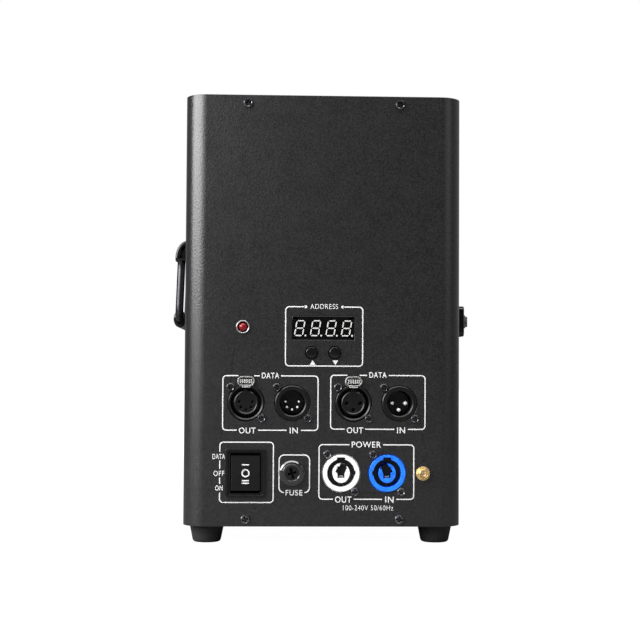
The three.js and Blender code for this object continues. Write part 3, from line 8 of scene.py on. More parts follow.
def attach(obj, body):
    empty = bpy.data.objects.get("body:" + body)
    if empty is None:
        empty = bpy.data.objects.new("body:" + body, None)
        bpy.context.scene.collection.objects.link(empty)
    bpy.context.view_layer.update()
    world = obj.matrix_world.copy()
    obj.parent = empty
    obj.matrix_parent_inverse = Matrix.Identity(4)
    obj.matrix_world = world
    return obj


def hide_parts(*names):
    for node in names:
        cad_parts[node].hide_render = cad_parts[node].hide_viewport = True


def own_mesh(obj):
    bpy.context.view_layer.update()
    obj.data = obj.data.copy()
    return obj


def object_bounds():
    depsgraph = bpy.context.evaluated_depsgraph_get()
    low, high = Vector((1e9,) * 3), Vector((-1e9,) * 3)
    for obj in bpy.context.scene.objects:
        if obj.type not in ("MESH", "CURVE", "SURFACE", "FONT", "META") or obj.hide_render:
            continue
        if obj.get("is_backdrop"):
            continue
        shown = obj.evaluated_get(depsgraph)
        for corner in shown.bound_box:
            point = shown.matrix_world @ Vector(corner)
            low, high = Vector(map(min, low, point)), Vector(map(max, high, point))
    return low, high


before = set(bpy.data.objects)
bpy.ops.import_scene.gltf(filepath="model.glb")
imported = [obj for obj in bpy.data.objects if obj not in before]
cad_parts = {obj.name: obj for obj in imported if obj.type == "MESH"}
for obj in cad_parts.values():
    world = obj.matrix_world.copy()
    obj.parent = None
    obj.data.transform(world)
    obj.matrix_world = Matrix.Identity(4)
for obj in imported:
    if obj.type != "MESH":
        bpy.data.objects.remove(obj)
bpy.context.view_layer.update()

# Stage flame machine, dressed piece by piece in the order it is put together. Sizes are in
# millimetres: x from the middle of the rear panel, y inwards from the panel's face and z up
# from the floor. Each shape is worked out there and then moved to the model's own frame.

# Camera: a 74 mm lens about 0.85 m behind the machine, low down and tipped up a little,
# as the photograph was taken.
camera = bpy.data.objects.new("camera", bpy.data.cameras.new("camera"))
bpy.context.collection.objects.link(camera)
camera.data.lens = 74.07
camera.data.sensor_width = 36
camera.data.clip_start = 0.01
camera_place = (-0.035124, -0.962, 0.113025)
yaw, pitch, roll = 0.03756, 0.03748, 0.005565
ahead = Vector((np.sin(yaw) * np.cos(pitch), np.cos(yaw) * np.cos(pitch), np.sin(pitch)))
right = Vector((np.cos(yaw), -np.sin(yaw), 0))
up = right.cross(ahead)
level_right = right * np.cos(roll) + up * np.sin(roll)
level_up = up * np.cos(roll) - right * np.sin(roll)
turn = Matrix((level_right, level_up, -ahead)).transposed()
camera.matrix_world = Matrix.Translation(camera_place) @ turn.to_4x4()
bpy.context.scene.camera = camera
bpy.context.scene.view_settings.view_transform = "Standard"

# Light: a softbox at the left draws the bright line down the left corner, a wide one hangs
# over the top, a weak one fills from the right, and a narrow one gives the panel its sheen.
lights = [
    ("softbox_left", (-1.367, -0.888, 0.78), (0, 0, 0.18), 1.6, 0.95, 49),
    ("softbox_right", (1.5, -1.3, 0.7), (0, 0, 0.12), 1.0, 1.0, 2.0),
    ("softbox_top", (-0.1, -0.75, 1.6), (0, 0, 0.2), 2.4, 0.8, 34),
    ("softbox_strip", (-0.7, -1.47, 0.78), (0, 0, 0.18), 0.45, 0.95, 4.5),
]
for name, place, target, width, height, power in lights:
    lamp = bpy.data.lights.new(name, "AREA")
    lamp.shape = "RECTANGLE"
    lamp.size = width
    lamp.size_y = height
    lamp.energy = power
    stand = bpy.data.objects.new(name, lamp)
    bpy.context.collection.objects.link(stand)
    aim = (Vector(target) - Vector(place)).to_track_quat("-Z", "Y")
    stand.matrix_world = Matrix.Translation(place) @ aim.to_matrix().to_4x4()


def node(tree, kind, settings):
    """Adds a node. A setting goes to the input it names, or else to the node's property, and
    a socket is linked to the input."""
    made = tree.nodes.new(kind)
    for key, value in settings.items():
        if isinstance(key, int) or key in made.inputs:
            if isinstance(value, bpy.types.NodeSocket):
                tree.links.new(value, made.inputs[key])
            else:
                made.inputs[key].default_value = value
        else:
            setattr(made, key, value)
    return made


def srgb(code):
    """A hex colour as linear light: c / 12.92 below 0.04045, else ((c + 0.055) / 1.055) ^ 2.4."""
    channels = np.array([int(code[i:i + 2], 16) for i in (1, 3, 5)]) / 255
    linear = np.where(channels < 0.04045, channels / 12.92, ((channels + 0.055) / 1.055) ** 2.4)
    return (*linear.tolist(), 1.0)


# Room: the camera and clear pieces see plain white. Reflections see the weaker light that it
# sheds on the machine, which comes mostly from behind on the right, where no softbox stands.
world = bpy.data.worlds.new("pale_room")
bpy.context.scene.world = world
world.use_nodes = True
room = world.node_tree
room.nodes.clear()
brightest_way, dimmest, brightest = (0.5, 0.85, 0.15), 0.08, 0.4
path = node(room, "ShaderNodeLightPath", {})
seen = node(room, "ShaderNodeMath", {
    "operation": "ADD", "use_clamp": True,
    0: path.outputs["Is Camera Ray"], 1: path.outputs["Is Transmission Ray"],
})
way = node(room, "ShaderNodeTexCoord", {}).outputs["Generated"]
behind = node(room, "ShaderNodeVectorMath", {
    "operation": "DOT_PRODUCT", 0: way, 1: brightest_way,
})
fill = node(room, "ShaderNodeMapRange", {
    "Value": behind.outputs["Value"], "From Min": -0.1, "To Min": dimmest, "To Max": brightest,
})
level = node(room, "ShaderNodeMapRange", {
    "Value": seen.outputs[0], "To Min": fill.outputs[0], "To Max": 1.0,
})
glow = node(room, "ShaderNodeBackground", {
    "Color": srgb("#ffffff"), "Strength": level.outputs[0],
})
node(room, "ShaderNodeOutputWorld", {"Surface": glow.outputs[0]})


def blank_material(name):
    """A node material with an empty tree."""
    made = bpy.data.materials.new(name)
    made.use_nodes = True
    made.node_tree.nodes.clear()
    return made


# Floor: matt paper, pale grey, rolled smooth. To the camera it glows up to the white of the
# room, less so near the machine, where it keeps the shadow. Its fibre is finer than a
# millimetre and is drawn at 13 so that it shows.
mm = 0.001
floor_reach, glow_strength = 6.0, 1.3
near_distance, far_distance, near_share = 0.2, 1.0, 0.76
floor_paper = blank_material("white_paper")
paper = floor_paper.node_tree
path = node(paper, "ShaderNodeLightPath", {})
place = node(paper, "ShaderNodeTexCoord", {}).outputs["Object"]
fibre = node(paper, "ShaderNodeTexNoise", {"Vector": place, "Scale": 1 / (13.3 * mm), "Detail": 3})
tone = node(paper, "ShaderNodeMix", {
    "data_type": "RGBA", 0: fibre.outputs[0], 6: srgb("#7a7a7a"), 7: srgb("#888888"),
})
matt = node(paper, "ShaderNodeBsdfDiffuse", {"Color": tone.outputs[2]})
light = node(paper, "ShaderNodeEmission", {
    "Color": srgb("#ffffff"), "Strength": glow_strength,
})
away = node(paper, "ShaderNodeVectorMath", {"operation": "LENGTH", 0: place})
spread = node(paper, "ShaderNodeMapRange", {
    "Value": away.outputs["Value"],
    "From Min": near_distance, "From Max": far_distance, "To Min": near_share, "To Max": 1.0,
})
seen = node(paper, "ShaderNodeMath", {
    "operation": "MULTIPLY", 0: path.outputs["Is Camera Ray"], 1: spread.outputs[0],
})
both = node(paper, "ShaderNodeMixShader", {
    0: seen.outputs[0], 1: matt.outputs[0], 2: light.outputs[0],
})
node(paper, "ShaderNodeOutputMaterial", {"Surface": both.outputs[0]})
floor_mesh = bpy.data.meshes.new("floor")
floor_corners = np.array([(-1, -1, 0), (1, -1, 0), (1, 1, 0), (-1, 1, 0)]) * floor_reach
floor_mesh.from_pydata(floor_corners.tolist(), [], [(0, 1, 2, 3)])
floor_mesh.materials.append(floor_paper)
floor = bpy.data.objects.new("floor", floor_mesh)
bpy.context.collection.objects.link(floor)
floor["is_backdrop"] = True


# Feet: four round mouldings of black rubber, 12 high, narrower at the floor, each held to
# the base plate by a screw up its middle.
panel = np.array([-1.0, -112.0, 0.0])
upright = np.eye(3)
merge_reach, smooth_below = 0.002 * mm, np.radians(38)
foot_height, foot_top, foot_floor, foot_edge = 12.0, 11.5, 9.0, 2.0
foot_hole, foot_recess, foot_recess_depth = 2.2, 4.5, 6.0
foot_places = {
    "foot_rear_left": (-75, 22),
    "foot_rear_right": (75, 22),
    "foot_front_left": (-75, 208),
    "foot_front_right": (75, 208),
}


def softened(corners, reach, steps=5):
    """Rounds the inner corners of a line. Corner P becomes P + (1 - t)^2 a + t^2 b for t from
    0 to 1, where a and b lie on its two sides, reach long or 0.35 of the side if that is
    less. One more point at 1.4 of each holds the flat beside the bend flat."""
    most_of_side, beside, no_length = 0.35, 1.4, 1e-9
    corners = np.asarray(corners, float)
    reach = np.broadcast_to(np.asarray(reach, float), len(corners) - 2)[:, None]
    before = corners[:-2] - corners[1:-1]
    after = corners[2:] - corners[1:-1]
    before_length = np.linalg.norm(before, axis=1, keepdims=True) + no_length
    after_length = np.linalg.norm(after, axis=1, keepdims=True) + no_length
    a = (before / before_length * np.minimum(reach, most_of_side * before_length))[:, None]
    b = (after / after_length * np.minimum(reach, most_of_side * after_length))[:, None]
    t = np.linspace(0, 1, steps + 1)[None, :, None]
    bend = [beside * a, (1 - t) ** 2 * a + t ** 2 * b, beside * b]
    bend = np.concatenate(bend, axis=1)
    inner = (corners[1:-1, None] + bend).reshape(-1, corners.shape[1])
    return np.concatenate([corners[:1], inner, corners[-1:]])


def turned(corners, reach, columns=64):
    """A softened profile of radius r and height w turned about its axis:
    (r cos angle, r sin angle, w)."""
    line = softened(corners, reach)
    angle = np.linspace(0, 2 * np.pi, columns + 1)
    r, w = line[:, :1], line[:, 1:]
    return np.stack([r * np.cos(angle), r * np.sin(angle), w + 0 * angle], axis=-1)


def placed(grid, origin=(0, 0, 0), axes=upright):
    """Each point (u, v, w) becomes origin + u axes[0] + v axes[1] + w axes[2]."""
    return grid @ axes + np.asarray(origin, float)


def finished(name, mesh, material, body, replaces):
    """Merges doubled points, turns the faces outwards, smooths all but the sharp edges, and
    hands the piece to the frame."""
    work = bmesh.new()
    work.from_mesh(mesh)
    bmesh.ops.remove_doubles(work, verts=work.verts, dist=merge_reach)
    bmesh.ops.recalc_face_normals(work, faces=work.faces)
    work.to_mesh(mesh)
    work.free()
    mesh.shade_smooth()
    mesh.set_sharp_from_angle(angle=smooth_below)
    mesh.materials.append(material)
    made = bpy.data.objects.new(name, mesh)
    bpy.context.collection.objects.link(made)
    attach(made, body)
    if replaces:
        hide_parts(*replaces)
    return made


def piece(name, grids, material, body, replaces=()):
    """One piece of several grids of points in millimetres: neighbours in a grid share quads."""
    points, faces, start = [], [], 0
    for grid in grids:
        rows, columns = grid.shape[:2]
        corner = start + np.arange(rows * columns).reshape(rows, columns)
        quads = [corner[:-1, :-1], corner[:-1, 1:], corner[1:, 1:], corner[1:, :-1]]
        faces.append(np.stack(quads, axis=-1).reshape(-1, 4))
        points.append(grid.reshape(-1, 3))
        start += rows * columns
    mesh = bpy.data.meshes.new(name)
    points = (np.concatenate(points) + panel) * mm
    mesh.from_pydata(points.tolist(), [], np.concatenate(faces).tolist())
    return finished(name, mesh, material, body, replaces)


def grained(name, dark, pale, roughness, grain, relief, **shader_settings):
    """A finish whose colour wavers between two tones and whose surface is pebbled, both by
    a noise of the grain's size in mm, and whose gloss drifts from patch to patch. Platings
    and polished mouldings have a finer grain than is drawn, which is coarse so that it shows."""
    patch_size, gloss_drift = 14 * mm, 0.015
    made = blank_material(name)
    tree = made.node_tree
    place = node(tree, "ShaderNodeTexCoord", {}).outputs["Object"]
    pebble = node(tree, "ShaderNodeTexNoise", {
        "Vector": place, "Scale": 1 / (grain * mm), "Detail": 2, "Roughness": 0.6,
    })
    patch = node(tree, "ShaderNodeTexNoise", {"Vector": place, "Scale": 1 / patch_size, "Detail": 3})
    spread = node(tree, "ShaderNodeMapRange", {
        "Value": pebble.outputs[0], "From Min": 0.3, "From Max": 0.7,
    })
    tone = node(tree, "ShaderNodeMix", {
        "data_type": "RGBA", 0: spread.outputs[0], 6: srgb(dark), 7: srgb(pale),
    })
    gloss = node(tree, "ShaderNodeMapRange", {
        "Value": patch.outputs[0], "From Min": 0.3, "From Max": 0.7,
        "To Min": roughness - gloss_drift, "To Max": roughness + gloss_drift,
    })
    bump = node(tree, "ShaderNodeBump", {
        "Strength": 0.6, "Distance": relief * mm, "Height": pebble.outputs[0],
    })
    shader = node(tree, "ShaderNodeBsdfPrincipled", {
        "Base Color": tone.outputs[2],
        "Roughness": gloss.outputs[0],
        "Normal": bump.outputs[0],
        **shader_settings,
    })
    node(tree, "ShaderNodeOutputMaterial", {"Surface": shader.outputs[0]})
    return made


# EPDM rubber, compression moulded and unpolished: matt, almost black, with a dusty grain.
rubber = grained("epdm_rubber_moulded", "#171717", "#282827", 0.72, 0.7, 0.05)
foot_profile = [
    (foot_hole, foot_height),
    (foot_hole, foot_recess_depth),
    (foot_recess, foot_recess_depth),
    (foot_recess, 0),
    (foot_floor, 0),
    (foot_top - 0.4, foot_height - 1.6),
    (foot_top, foot_height),
    (foot_hole, foot_height),
]
for name, (x, y) in foot_places.items():
    grid = turned(foot_profile, [0, 0, 0.5, foot_edge, 0.6, 0.3])
    piece(name, [placed(grid, (x, y, 0))], rubber, "housing", (name,))

# Zinc plate on steel, for the feet's screws and the bare parts inside: pale grey with a
# blue cast, bright, faintly mottled.
zinc = grained("zinc_plated_steel", "#a3a7ad", "#bfc2c6", 0.36, 1.6, 0.01, Metallic=1.0)


def cross(radius, columns=72):
    """Outline of a cross recess as a distance from its middle: the larger of two arms, each
    min(length / |cos|, width / |sin|)."""
    angle = np.linspace(0, 2 * np.pi, columns + 1)
    side = np.maximum(np.abs(np.sin(angle)), 1e-6)
    front = np.maximum(np.abs(np.cos(angle)), 1e-6)
    length, width = 0.66 * radius, 0.19 * radius
    reach = np.maximum(
        np.minimum(length / front, width / side),
        np.minimum(length / side, width / front),
    )
    return reach[:, None] * np.stack([np.cos(angle), np.sin(angle)], axis=-1)


def at_depth(flat, w):
    """Each flat point (u, v) becomes (u, v, w)."""
    return np.append(flat, 0 * flat[:, :1] + w, axis=1)


def pan_screw(radius, height, x, y, z, axes, lean=0.0):
    """A pan head with a cross recess and the start of its shank. The head's rows are circles
    on a softened profile, and from the top inwards they are crosses that narrow to a point,
    which stays inside the shank. Local w is the way out."""
    shank_end, recess_end = -1.6, -1.2
    angle = np.linspace(0, 2 * np.pi, 73)
    round_row = np.stack([np.cos(angle), np.sin(angle)], axis=-1)
    neck = 0.45 * radius
    line = softened([
        (0, shank_end), (neck, shank_end), (neck, 0), (radius, 0), (radius, 0.6 * height),
        (0.78 * radius, height),
    ], [0.05, 0.05, 0.05, 0.4 * height])
    shell = [at_depth(r * round_row, w) for r, w in line]
    recess = cross(radius)
    steps = [(1.12, height), (1.0, 0.9 * height), (0.9, -0.2), (0.45, -1.0), (0, recess_end)]
    shell += [at_depth(s * recess, w) for s, w in steps]
    grid = np.array(shell)
    c, s = np.cos(lean), np.sin(lean)
    spin = np.array([[c, s, 0], [-s, c, 0], [0, 0, 1]])
    return placed(grid @ spin, (x, y, z), axes)


downward = np.array([[1, 0, 0], [0, 1, 0], [0, 0, -1.0]])
foot_screw = (3.8, 2.2)
screws = [
    pan_screw(*foot_screw, x, y, foot_recess_depth, downward, 0.4)
    for x, y in foot_places.values()
]
piece("foot_screws", screws, zinc, "housing")


# Base and top plates: folded steel, powder coated, with a flange at the rear and the front.
# They are the model's own solids, with their rims rounded by the coat.
#
# Polyester powder coat, fine texture: baked on, so it is a dense grain of dark grey with a
# soft sheen. The real grain is about 0.4 mm and is drawn at 1.2 so that it shows.
powder = grained("polyester_powder_coat", "#050506", "#202022", 0.31, 1.2, 0.17, **{
    "Specular IOR Level": 0.8,
})
sharp_edge = np.radians(40)
plate_rim = 0.3


def dressed(name, material, rim):
    """Gives the model's own solid its finish, and rounds its edges by the rim."""
    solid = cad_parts[name]
    for slot in solid.material_slots:
        slot.material = material
    if not solid.material_slots:
        solid.data.materials.append(material)
    weld = solid.modifiers.new("weld", "WELD")
    weld.merge_threshold = merge_reach
    bevel = solid.modifiers.new("rim", "BEVEL")
    bevel.width = rim * mm
    bevel.segments = 2
    bevel.limit_method = "ANGLE"
    bevel.angle_limit = sharp_edge


dressed("base_plate", powder, plate_rim)
dressed("top_plate", powder, plate_rim)


# Rear wrap: one sheet, 1.2 thick, cut flat with every opening in it, folded round both rear
# corners into the two sides, and powder coated. Its right side has the door opening.
sheet = 1.2
half_width, corner_bend, body_low, body_high, body_depth = 90.0, 14.0, 12.0, 291.0, 230.0
seam, door_corner = 212.0, 4.0
flat_half = half_width - corner_bend
bend_length = corner_bend * np.pi / 2
door_rear, door_front, door_low, door_high = 55.5, 190.0, 38.0, 267.0


def circle(radius, x=0.0, y=0.0, steps=72):
    """Points at radius times (cos, sin) about (x, y)."""
    angle = np.linspace(0, 2 * np.pi, steps, endpoint=False)
    return np.stack([x + radius * np.cos(angle), y + radius * np.sin(angle)], axis=-1)


def rounded(x0, x1, y0, y1, radius, steps=8):
    """A rectangle whose corners are quarter circles about a point radius in from each side.
    The radius is one number, or one for each corner from the upper right, anticlockwise."""
    radius = np.broadcast_to(np.asarray(radius, float), 4)[:, None]
    quarter = np.linspace(0, np.pi / 2, steps + 1)[None]
    angle = quarter + np.arange(4)[:, None] * np.pi / 2
    sides = np.array([[1, 1], [-1, 1], [-1, -1], [1, -1]])
    middle = np.array([(x0 + x1) / 2, (y0 + y1) / 2])
    half = np.array([(x1 - x0) / 2, (y1 - y0) / 2])
    centre = (middle + sides * (half - radius))[:, None]
    spoke = np.stack([np.cos(angle), np.sin(angle)], axis=-1)
    return (centre + radius[..., None] * spoke).reshape(-1, 2)


def inside(points, loop):
    """Whether each point is in a loop: a ray towards +x crosses an odd number of its edges."""
    a, b = loop, np.roll(loop, -1, axis=0)
    x, y = points[:, :1], points[:, 1:]
    spans = (a[:, 1] > y) != (b[:, 1] > y)
    run = np.where(a[:, 1] == b[:, 1], 1.0, b[:, 1] - a[:, 1])
    crossing = a[:, 0] + (y - a[:, 1]) * (b[:, 0] - a[:, 0]) / run
    return (spans & (x < crossing)).sum(axis=1) % 2 == 1


def cut_sheet(outline, holes=(), folds=()):
    """Triangles of a flat sheet that keep its outline, its holes and its fold lines as edges.
    Those whose middle is in a hole are left out, and all turn anticlockwise."""
    same_point, no_area = 1e-5, 1e-9
    points, edges, start = [], [], 0
    for loop in (outline, *holes, *folds):
        index = start + np.arange(len(loop))
        pairs = np.stack([index, np.roll(index, -1)], axis=-1)
        edges += (pairs if len(loop) > 2 else pairs[:1]).tolist()
        points += [Vector(point) for point in np.asarray(loop).tolist()]
        start += len(loop)
    found = delaunay_2d_cdt(points, edges, [], 0, same_point)
    flat = np.array([point[:] for point in found[0]])
    triangles = np.array(found[2])
    middle = flat[triangles].mean(axis=1)
    kept = inside(middle, outline)
    for hole in holes:
        kept &= ~inside(middle, np.asarray(hole))
    triangles = triangles[kept]
    a, b, c = (flat[triangles[:, i]] for i in range(3))
    area = (b[:, 0] - a[:, 0]) * (c[:, 1] - a[:, 1]) - (b[:, 1] - a[:, 1]) * (c[:, 0] - a[:, 0])
    triangles = np.where((area > 0)[:, None], triangles, triangles[:, ::-1])
    triangles = triangles[np.abs(area) > no_area]
    used, index = np.unique(triangles, return_inverse=True)
    return flat[used], index.reshape(-1, 3)


def blank(end):
    """The outline of a flat blank as high as the body, from -end to end."""
    return np.array([(end, body_high), (-end, body_high), (-end, body_low), (end, body_low)])


def sheet_piece(name, points, triangles, thickness, rim, material, body, replaces=()):
    """A piece of sheet: its outer face as triangles, a wall grown inwards from that face, and
    rims rounded by a small radius."""
    mesh = bpy.data.meshes.new(name)
    mesh.from_pydata(((points + panel) * mm).tolist(), [], triangles.tolist())
    mesh.shade_smooth()
    mesh.materials.append(material)
    made = bpy.data.objects.new(name, mesh)
    bpy.context.collection.objects.link(made)
    wall = made.modifiers.new("wall", "SOLIDIFY")
    wall.thickness = thickness * mm
    wall.offset = -1
    wall.use_even_offset = True
    bevel = made.modifiers.new("rim", "BEVEL")
    bevel.width = rim * mm
    bevel.segments = 2
    bevel.limit_method = "ANGLE"
    bevel.angle_limit = sharp_edge
    bevel.harden_normals = True
    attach(made, body)
    if replaces:
        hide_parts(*replaces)


def folded(flat, middle_y, way):
    """Bends a flat blank (s, z) round two corners. Past the flat the angle grows as arc length
    over radius up to a quarter turn: x = flat + radius sin angle, depth = radius
    (1 - cos angle) + what is left of s. way is 1 for the rear wrap and -1 for the cover."""
    s, z = flat[:, 0], flat[:, 1]
    past = np.abs(s) - flat_half
    angle = np.clip(past / corner_bend, 0, np.pi / 2)
    x = np.sign(s) * (np.minimum(np.abs(s), flat_half) + corner_bend * np.sin(angle))
    depth = corner_bend * (1 - np.cos(angle)) + np.maximum(past - bend_length, 0)
    return np.stack([way * x, middle_y + way * depth, z], axis=-1)


signal_row, signal_columns = 91.3, (-49.5, -19.7, 19.7, 49.5)
power_row, power_out, power_in = 46.3, 12.0, 41.7
switch_column, fuse_column = -49.5, -19.7
lamp_place, antenna_place = (-51.9, 140.1), (64.9, 46.2)
window_row, button_row, button_column = 139.8, 123.8, 7.5
tab_rise = 13.9
outlet_hole, inlet_hole, power_hole, fuse_hole = 12.0, 11.7, 12.45, 7.3
lamp_hole, antenna_hole, button_hole = 4.0, 3.475, 4.25
side_start = flat_half + bend_length - corner_bend


def cut_out(x, z, half_x, half_z, radius, steps=8):
    """A rounded rectangle about (x, z)."""
    return rounded(x - half_x, x + half_x, z - half_z, z + half_z, radius, steps)


wrap_holes = [
    circle(outlet_hole, signal_columns[0], signal_row),
    circle(inlet_hole, signal_columns[1], signal_row),
    circle(outlet_hole, signal_columns[2], signal_row),
    circle(inlet_hole, signal_columns[3], signal_row),
    cut_out(signal_columns[0], signal_row + tab_rise, 5.75, 3.45, 3.4),
    cut_out(signal_columns[2], signal_row + tab_rise, 5.75, 3.45, 3.4),
    circle(power_hole, power_out, power_row),
    circle(power_hole, power_in, power_row),
    cut_out(switch_column, power_row, 11.3, 14.2, 0.6, 3),
    circle(fuse_hole, fuse_column, power_row),
    cut_out(0, window_row, 20.25, 7.8, 0.5, 3),
    circle(lamp_hole, *lamp_place, steps=40),
    circle(antenna_hole, *antenna_place, steps=40),
    circle(button_hole, -button_column, button_row, 48),
    circle(button_hole, button_column, button_row, 48),
    rounded(side_start + door_rear, side_start + door_front, door_low, door_high, door_corner),
]
bend_steps = 16
bends = [
    side * (flat_half + bend_length * step / bend_steps)
    for side in (-1, 1) for step in range(bend_steps + 1)
]
bend_lines = [[(s, body_low), (s, body_high)] for s in bends]
flat, triangles = cut_sheet(blank(side_start + seam), wrap_holes, bend_lines)
sheet_piece("wrap_sheet", folded(flat, 0, 1), triangles, sheet, plate_rim, powder, "housing",
            ("rear_wrap",))

# Door lip and the hinge's fixed leaf: a steel ring welded behind the opening, which stops
# the door, and a leaf with rolled knuckles riveted on in front of it.
sideways = np.array([[0, 1, 0], [0, 0, 1], [1.0, 0, 0]])
lip_outer, lip_inner, lip_face = 3.9, 5.0, 88.5


def door_loop(grow, radius):
    """The outline of the door opening, grown on every side."""
    return rounded(door_rear - grow, door_front + grow, door_low - grow, door_high + grow, radius)


flat, triangles = cut_sheet(door_loop(lip_outer, 7.9), [door_loop(-lip_inner, 3)])
lip = placed(at_depth(flat, lip_face), axes=sideways)
sheet_piece("door_lip", lip, triangles, sheet, plate_rim, powder, "housing")


def inward_mitres(outline):
    """For each point of a closed outline, the way it moves when every side moves in by 1: the
    sum of its two sides' inward normals over one plus their product."""
    side = np.roll(outline, -1, axis=0) - outline
    x, y = outline[:, 0], outline[:, 1]
    area = np.sum(x * np.roll(y, -1) - y * np.roll(x, -1))
    normal = np.stack([-side[:, 1], side[:, 0]], axis=-1) * np.sign(area)
    normal /= np.linalg.norm(normal, axis=1, keepdims=True)
    before = np.roll(normal, 1, axis=0)
    return (normal + before) / (1 + np.sum(normal * before, axis=1, keepdims=True))


def distinct(outline):
    """The outline without points that repeat the one before them."""
    step = np.linalg.norm(outline - np.roll(outline, 1, axis=0), axis=1)
    return outline[step > 1e-6]


def wall_rows(outline, line, grow=1.0):
    """A row of points (u, v, w) for each (inset, w) of a line, closed on its first point."""
    inset = grow * line[:, 0][:, None, None] * inward_mitres(outline)[None]
    height = line[:, 1][:, None, None] + 0 * inset[..., :1]
    rows = np.concatenate([outline[None] + inset, height], axis=2)
    return np.concatenate([rows, rows[:, :1]], axis=1)


def slab(outline, low, high, edge_low, edge_high=None):
    """A block of one outline with rounded rims: its rows follow a square section, softened by
    the edge at both ends, and each end closes on the middle."""
    outline = distinct(outline)
    edge_high = edge_low if edge_high is None else edge_high
    section = [(3 * edge_low, low), (0, low), (0, high), (3 * edge_high, high)]
    rows = wall_rows(outline, softened(section, [edge_low, edge_high]))
    middle = np.append(outline.mean(axis=0), 0)
    ends = [0 * rows[:1] + middle + (0, 0, w) for w in (low, high)]
    return np.concatenate([ends[0], rows, ends[1]])


def ring(outer, inner, low, high, edge):
    """A tube of two outlines with as many points each. Its rows go up the outer wall, over
    the rim, down the inner wall and back to the start."""
    rising = softened([(3 * edge, low), (0, low), (0, high), (3 * edge, high)], edge)
    falling = softened([(3 * edge, high), (0, high), (0, low), (3 * edge, low)], edge)
    rows = [wall_rows(outer, rising), wall_rows(inner, falling, -1.0)]
    return np.concatenate([*rows, rows[0][:1]])


hinge_x, hinge_y, hinge_low, hinge_pitch, knuckle, hinge_bore = 93.4, 191.8, 87.5, 26.0, 3.0, 2.0
knuckles, knuckle_gap = 5, 0.15
leaf_near, leaf_far, leaf_inner, leaf_outer = 3.4, 12.0, 89.7, 91.6


def hinge_leaf(side, first):
    """A leaf's plate, its knuckles from the first on, every second one, and the tongues that
    join them, which lie against each barrel's inner side."""
    near, far = hinge_y + side * leaf_near, hinge_y + side * leaf_far
    leaf_top = hinge_low + knuckles * hinge_pitch
    plate = rounded(min(near, far), max(near, far), hinge_low, leaf_top, 1.2)
    grids = [placed(slab(plate, leaf_inner, leaf_outer, 0.1, 0.3), axes=sideways)]
    for i in range(first, knuckles, 2):
        low = hinge_low + i * hinge_pitch + knuckle_gap
        high = hinge_low + (i + 1) * hinge_pitch - knuckle_gap
        barrel = ring(circle(knuckle, steps=40), circle(hinge_bore, steps=40), low, high, 0.15)
        tongue = rounded(min(hinge_y, near), max(hinge_y, near + side * 0.8), low, high, 0.3)
        grids.append(placed(barrel, (hinge_x, hinge_y, 0)))
        grids.append(placed(slab(tongue, leaf_inner + 0.7, leaf_outer, 0.15), axes=sideways))
    return grids


piece("hinge_leaf_fixed", hinge_leaf(1, 0), powder, "housing")


# Front cover: a shallow folded tray of the same sheet that closes the housing. Two straps
# spot welded inside it lap behind the wrap's edges.
seam_gap, strap_right, strap_left = 0.3, 87.55, -88.75
cover_end = flat_half + bend_length + body_depth - corner_bend - seam - seam_gap
flat, triangles = cut_sheet(blank(cover_end), [], bend_lines)
sheet_piece("cover_sheet", folded(flat, body_depth, -1), triangles, sheet, plate_rim, powder,
            "housing", ("front_cover",))
strap = rounded(seam - 10, seam + 2.4, 25.5, 276, 1.5)
straps = [
    placed(slab(strap, low, low + sheet, 0.3), axes=sideways) for low in (strap_right, strap_left)
]
piece("cover_straps", straps, powder, "housing")

# Bulkhead, press frame, lever and its pin: bent and cut steel, plated with zinc and left
# bare. They are the model's own solids.
for name in ("bulkhead", "press_frame", "press_lever", "lever_pin"):
    dressed(name, zinc, 0.35)

# Can door: a flat panel of the same sheet with two stiffening ribs spot welded inside and
# the hinge's moving leaf outside. It covers the opening with a gap of 0.6 all round.
door_gap = 0.6
latch_y, latch_z, latch_hole = 66.7, 146.8, 3.3
door_outline = door_loop(-door_gap, door_corner - door_gap)
flat, triangles = cut_sheet(door_outline, [circle(latch_hole, latch_y, latch_z, 32)])
door = placed(at_depth(flat, half_width), axes=sideways)
sheet_piece("door_panel", door, triangles, sheet, plate_rim, powder, "door",
            ("can_door",))
rib_inset, rib_width, rib_inner, rib_outer = 17, 12, 84.3, 88.9
ribs = []
for low in (door_low + rib_inset, door_high - rib_inset - rib_width):
    rib = rounded(door_rear + rib_inset, door_front - rib_inset, low, low + rib_width, 5)
    ribs.append(placed(slab(rib, rib_inner, rib_outer, 1.2, 0.1), axes=sideways))
piece("door_ribs", ribs, powder, "door")
piece("hinge_leaf_moving", hinge_leaf(-1, 1), powder, "door")

# Hinge pin and leaf rivets: a steel pin with two upset heads through the knuckles, and
# five small rivets in each leaf.
#
# Mild steel plated with black nickel, also used for the small screws: smoky grey with a
# hard bright glint, so it looks black except where a lamp falls on it.
black_plate = grained("black_nickel_plated_steel", "#6e6e72", "#8e8e93", 0.16, 1.2, 0.012, **{
    "Metallic": 1.0,
})
pin_radius, pin_head, head_height = 1.7, 2.6, 0.9
pin_low, pin_high = hinge_low - 0.3, hinge_low + knuckles * hinge_pitch + 0.3
pin = [
    (0, pin_low - head_height), (pin_head, pin_low - head_height), (pin_head, pin_low),
    (pin_radius, pin_low), (pin_radius, pin_high), (pin_head, pin_high),
    (pin_head, pin_high + head_height), (0, pin_high + head_height),
]
piece("pin_of_hinge", [placed(turned(pin, [0.4, 0.1, 0, 0, 0.1, 0.4], 32), (hinge_x, hinge_y, 0))],
      black_plate, "housing", ("hinge_pin",))
rivet_offset = 8.2
rivet = turned([(0, 0), (2.1, 0), (2.1, 0.25), (1.2, 0.75), (0, 0.9)], [0.05, 0.2, 0.5], 24)
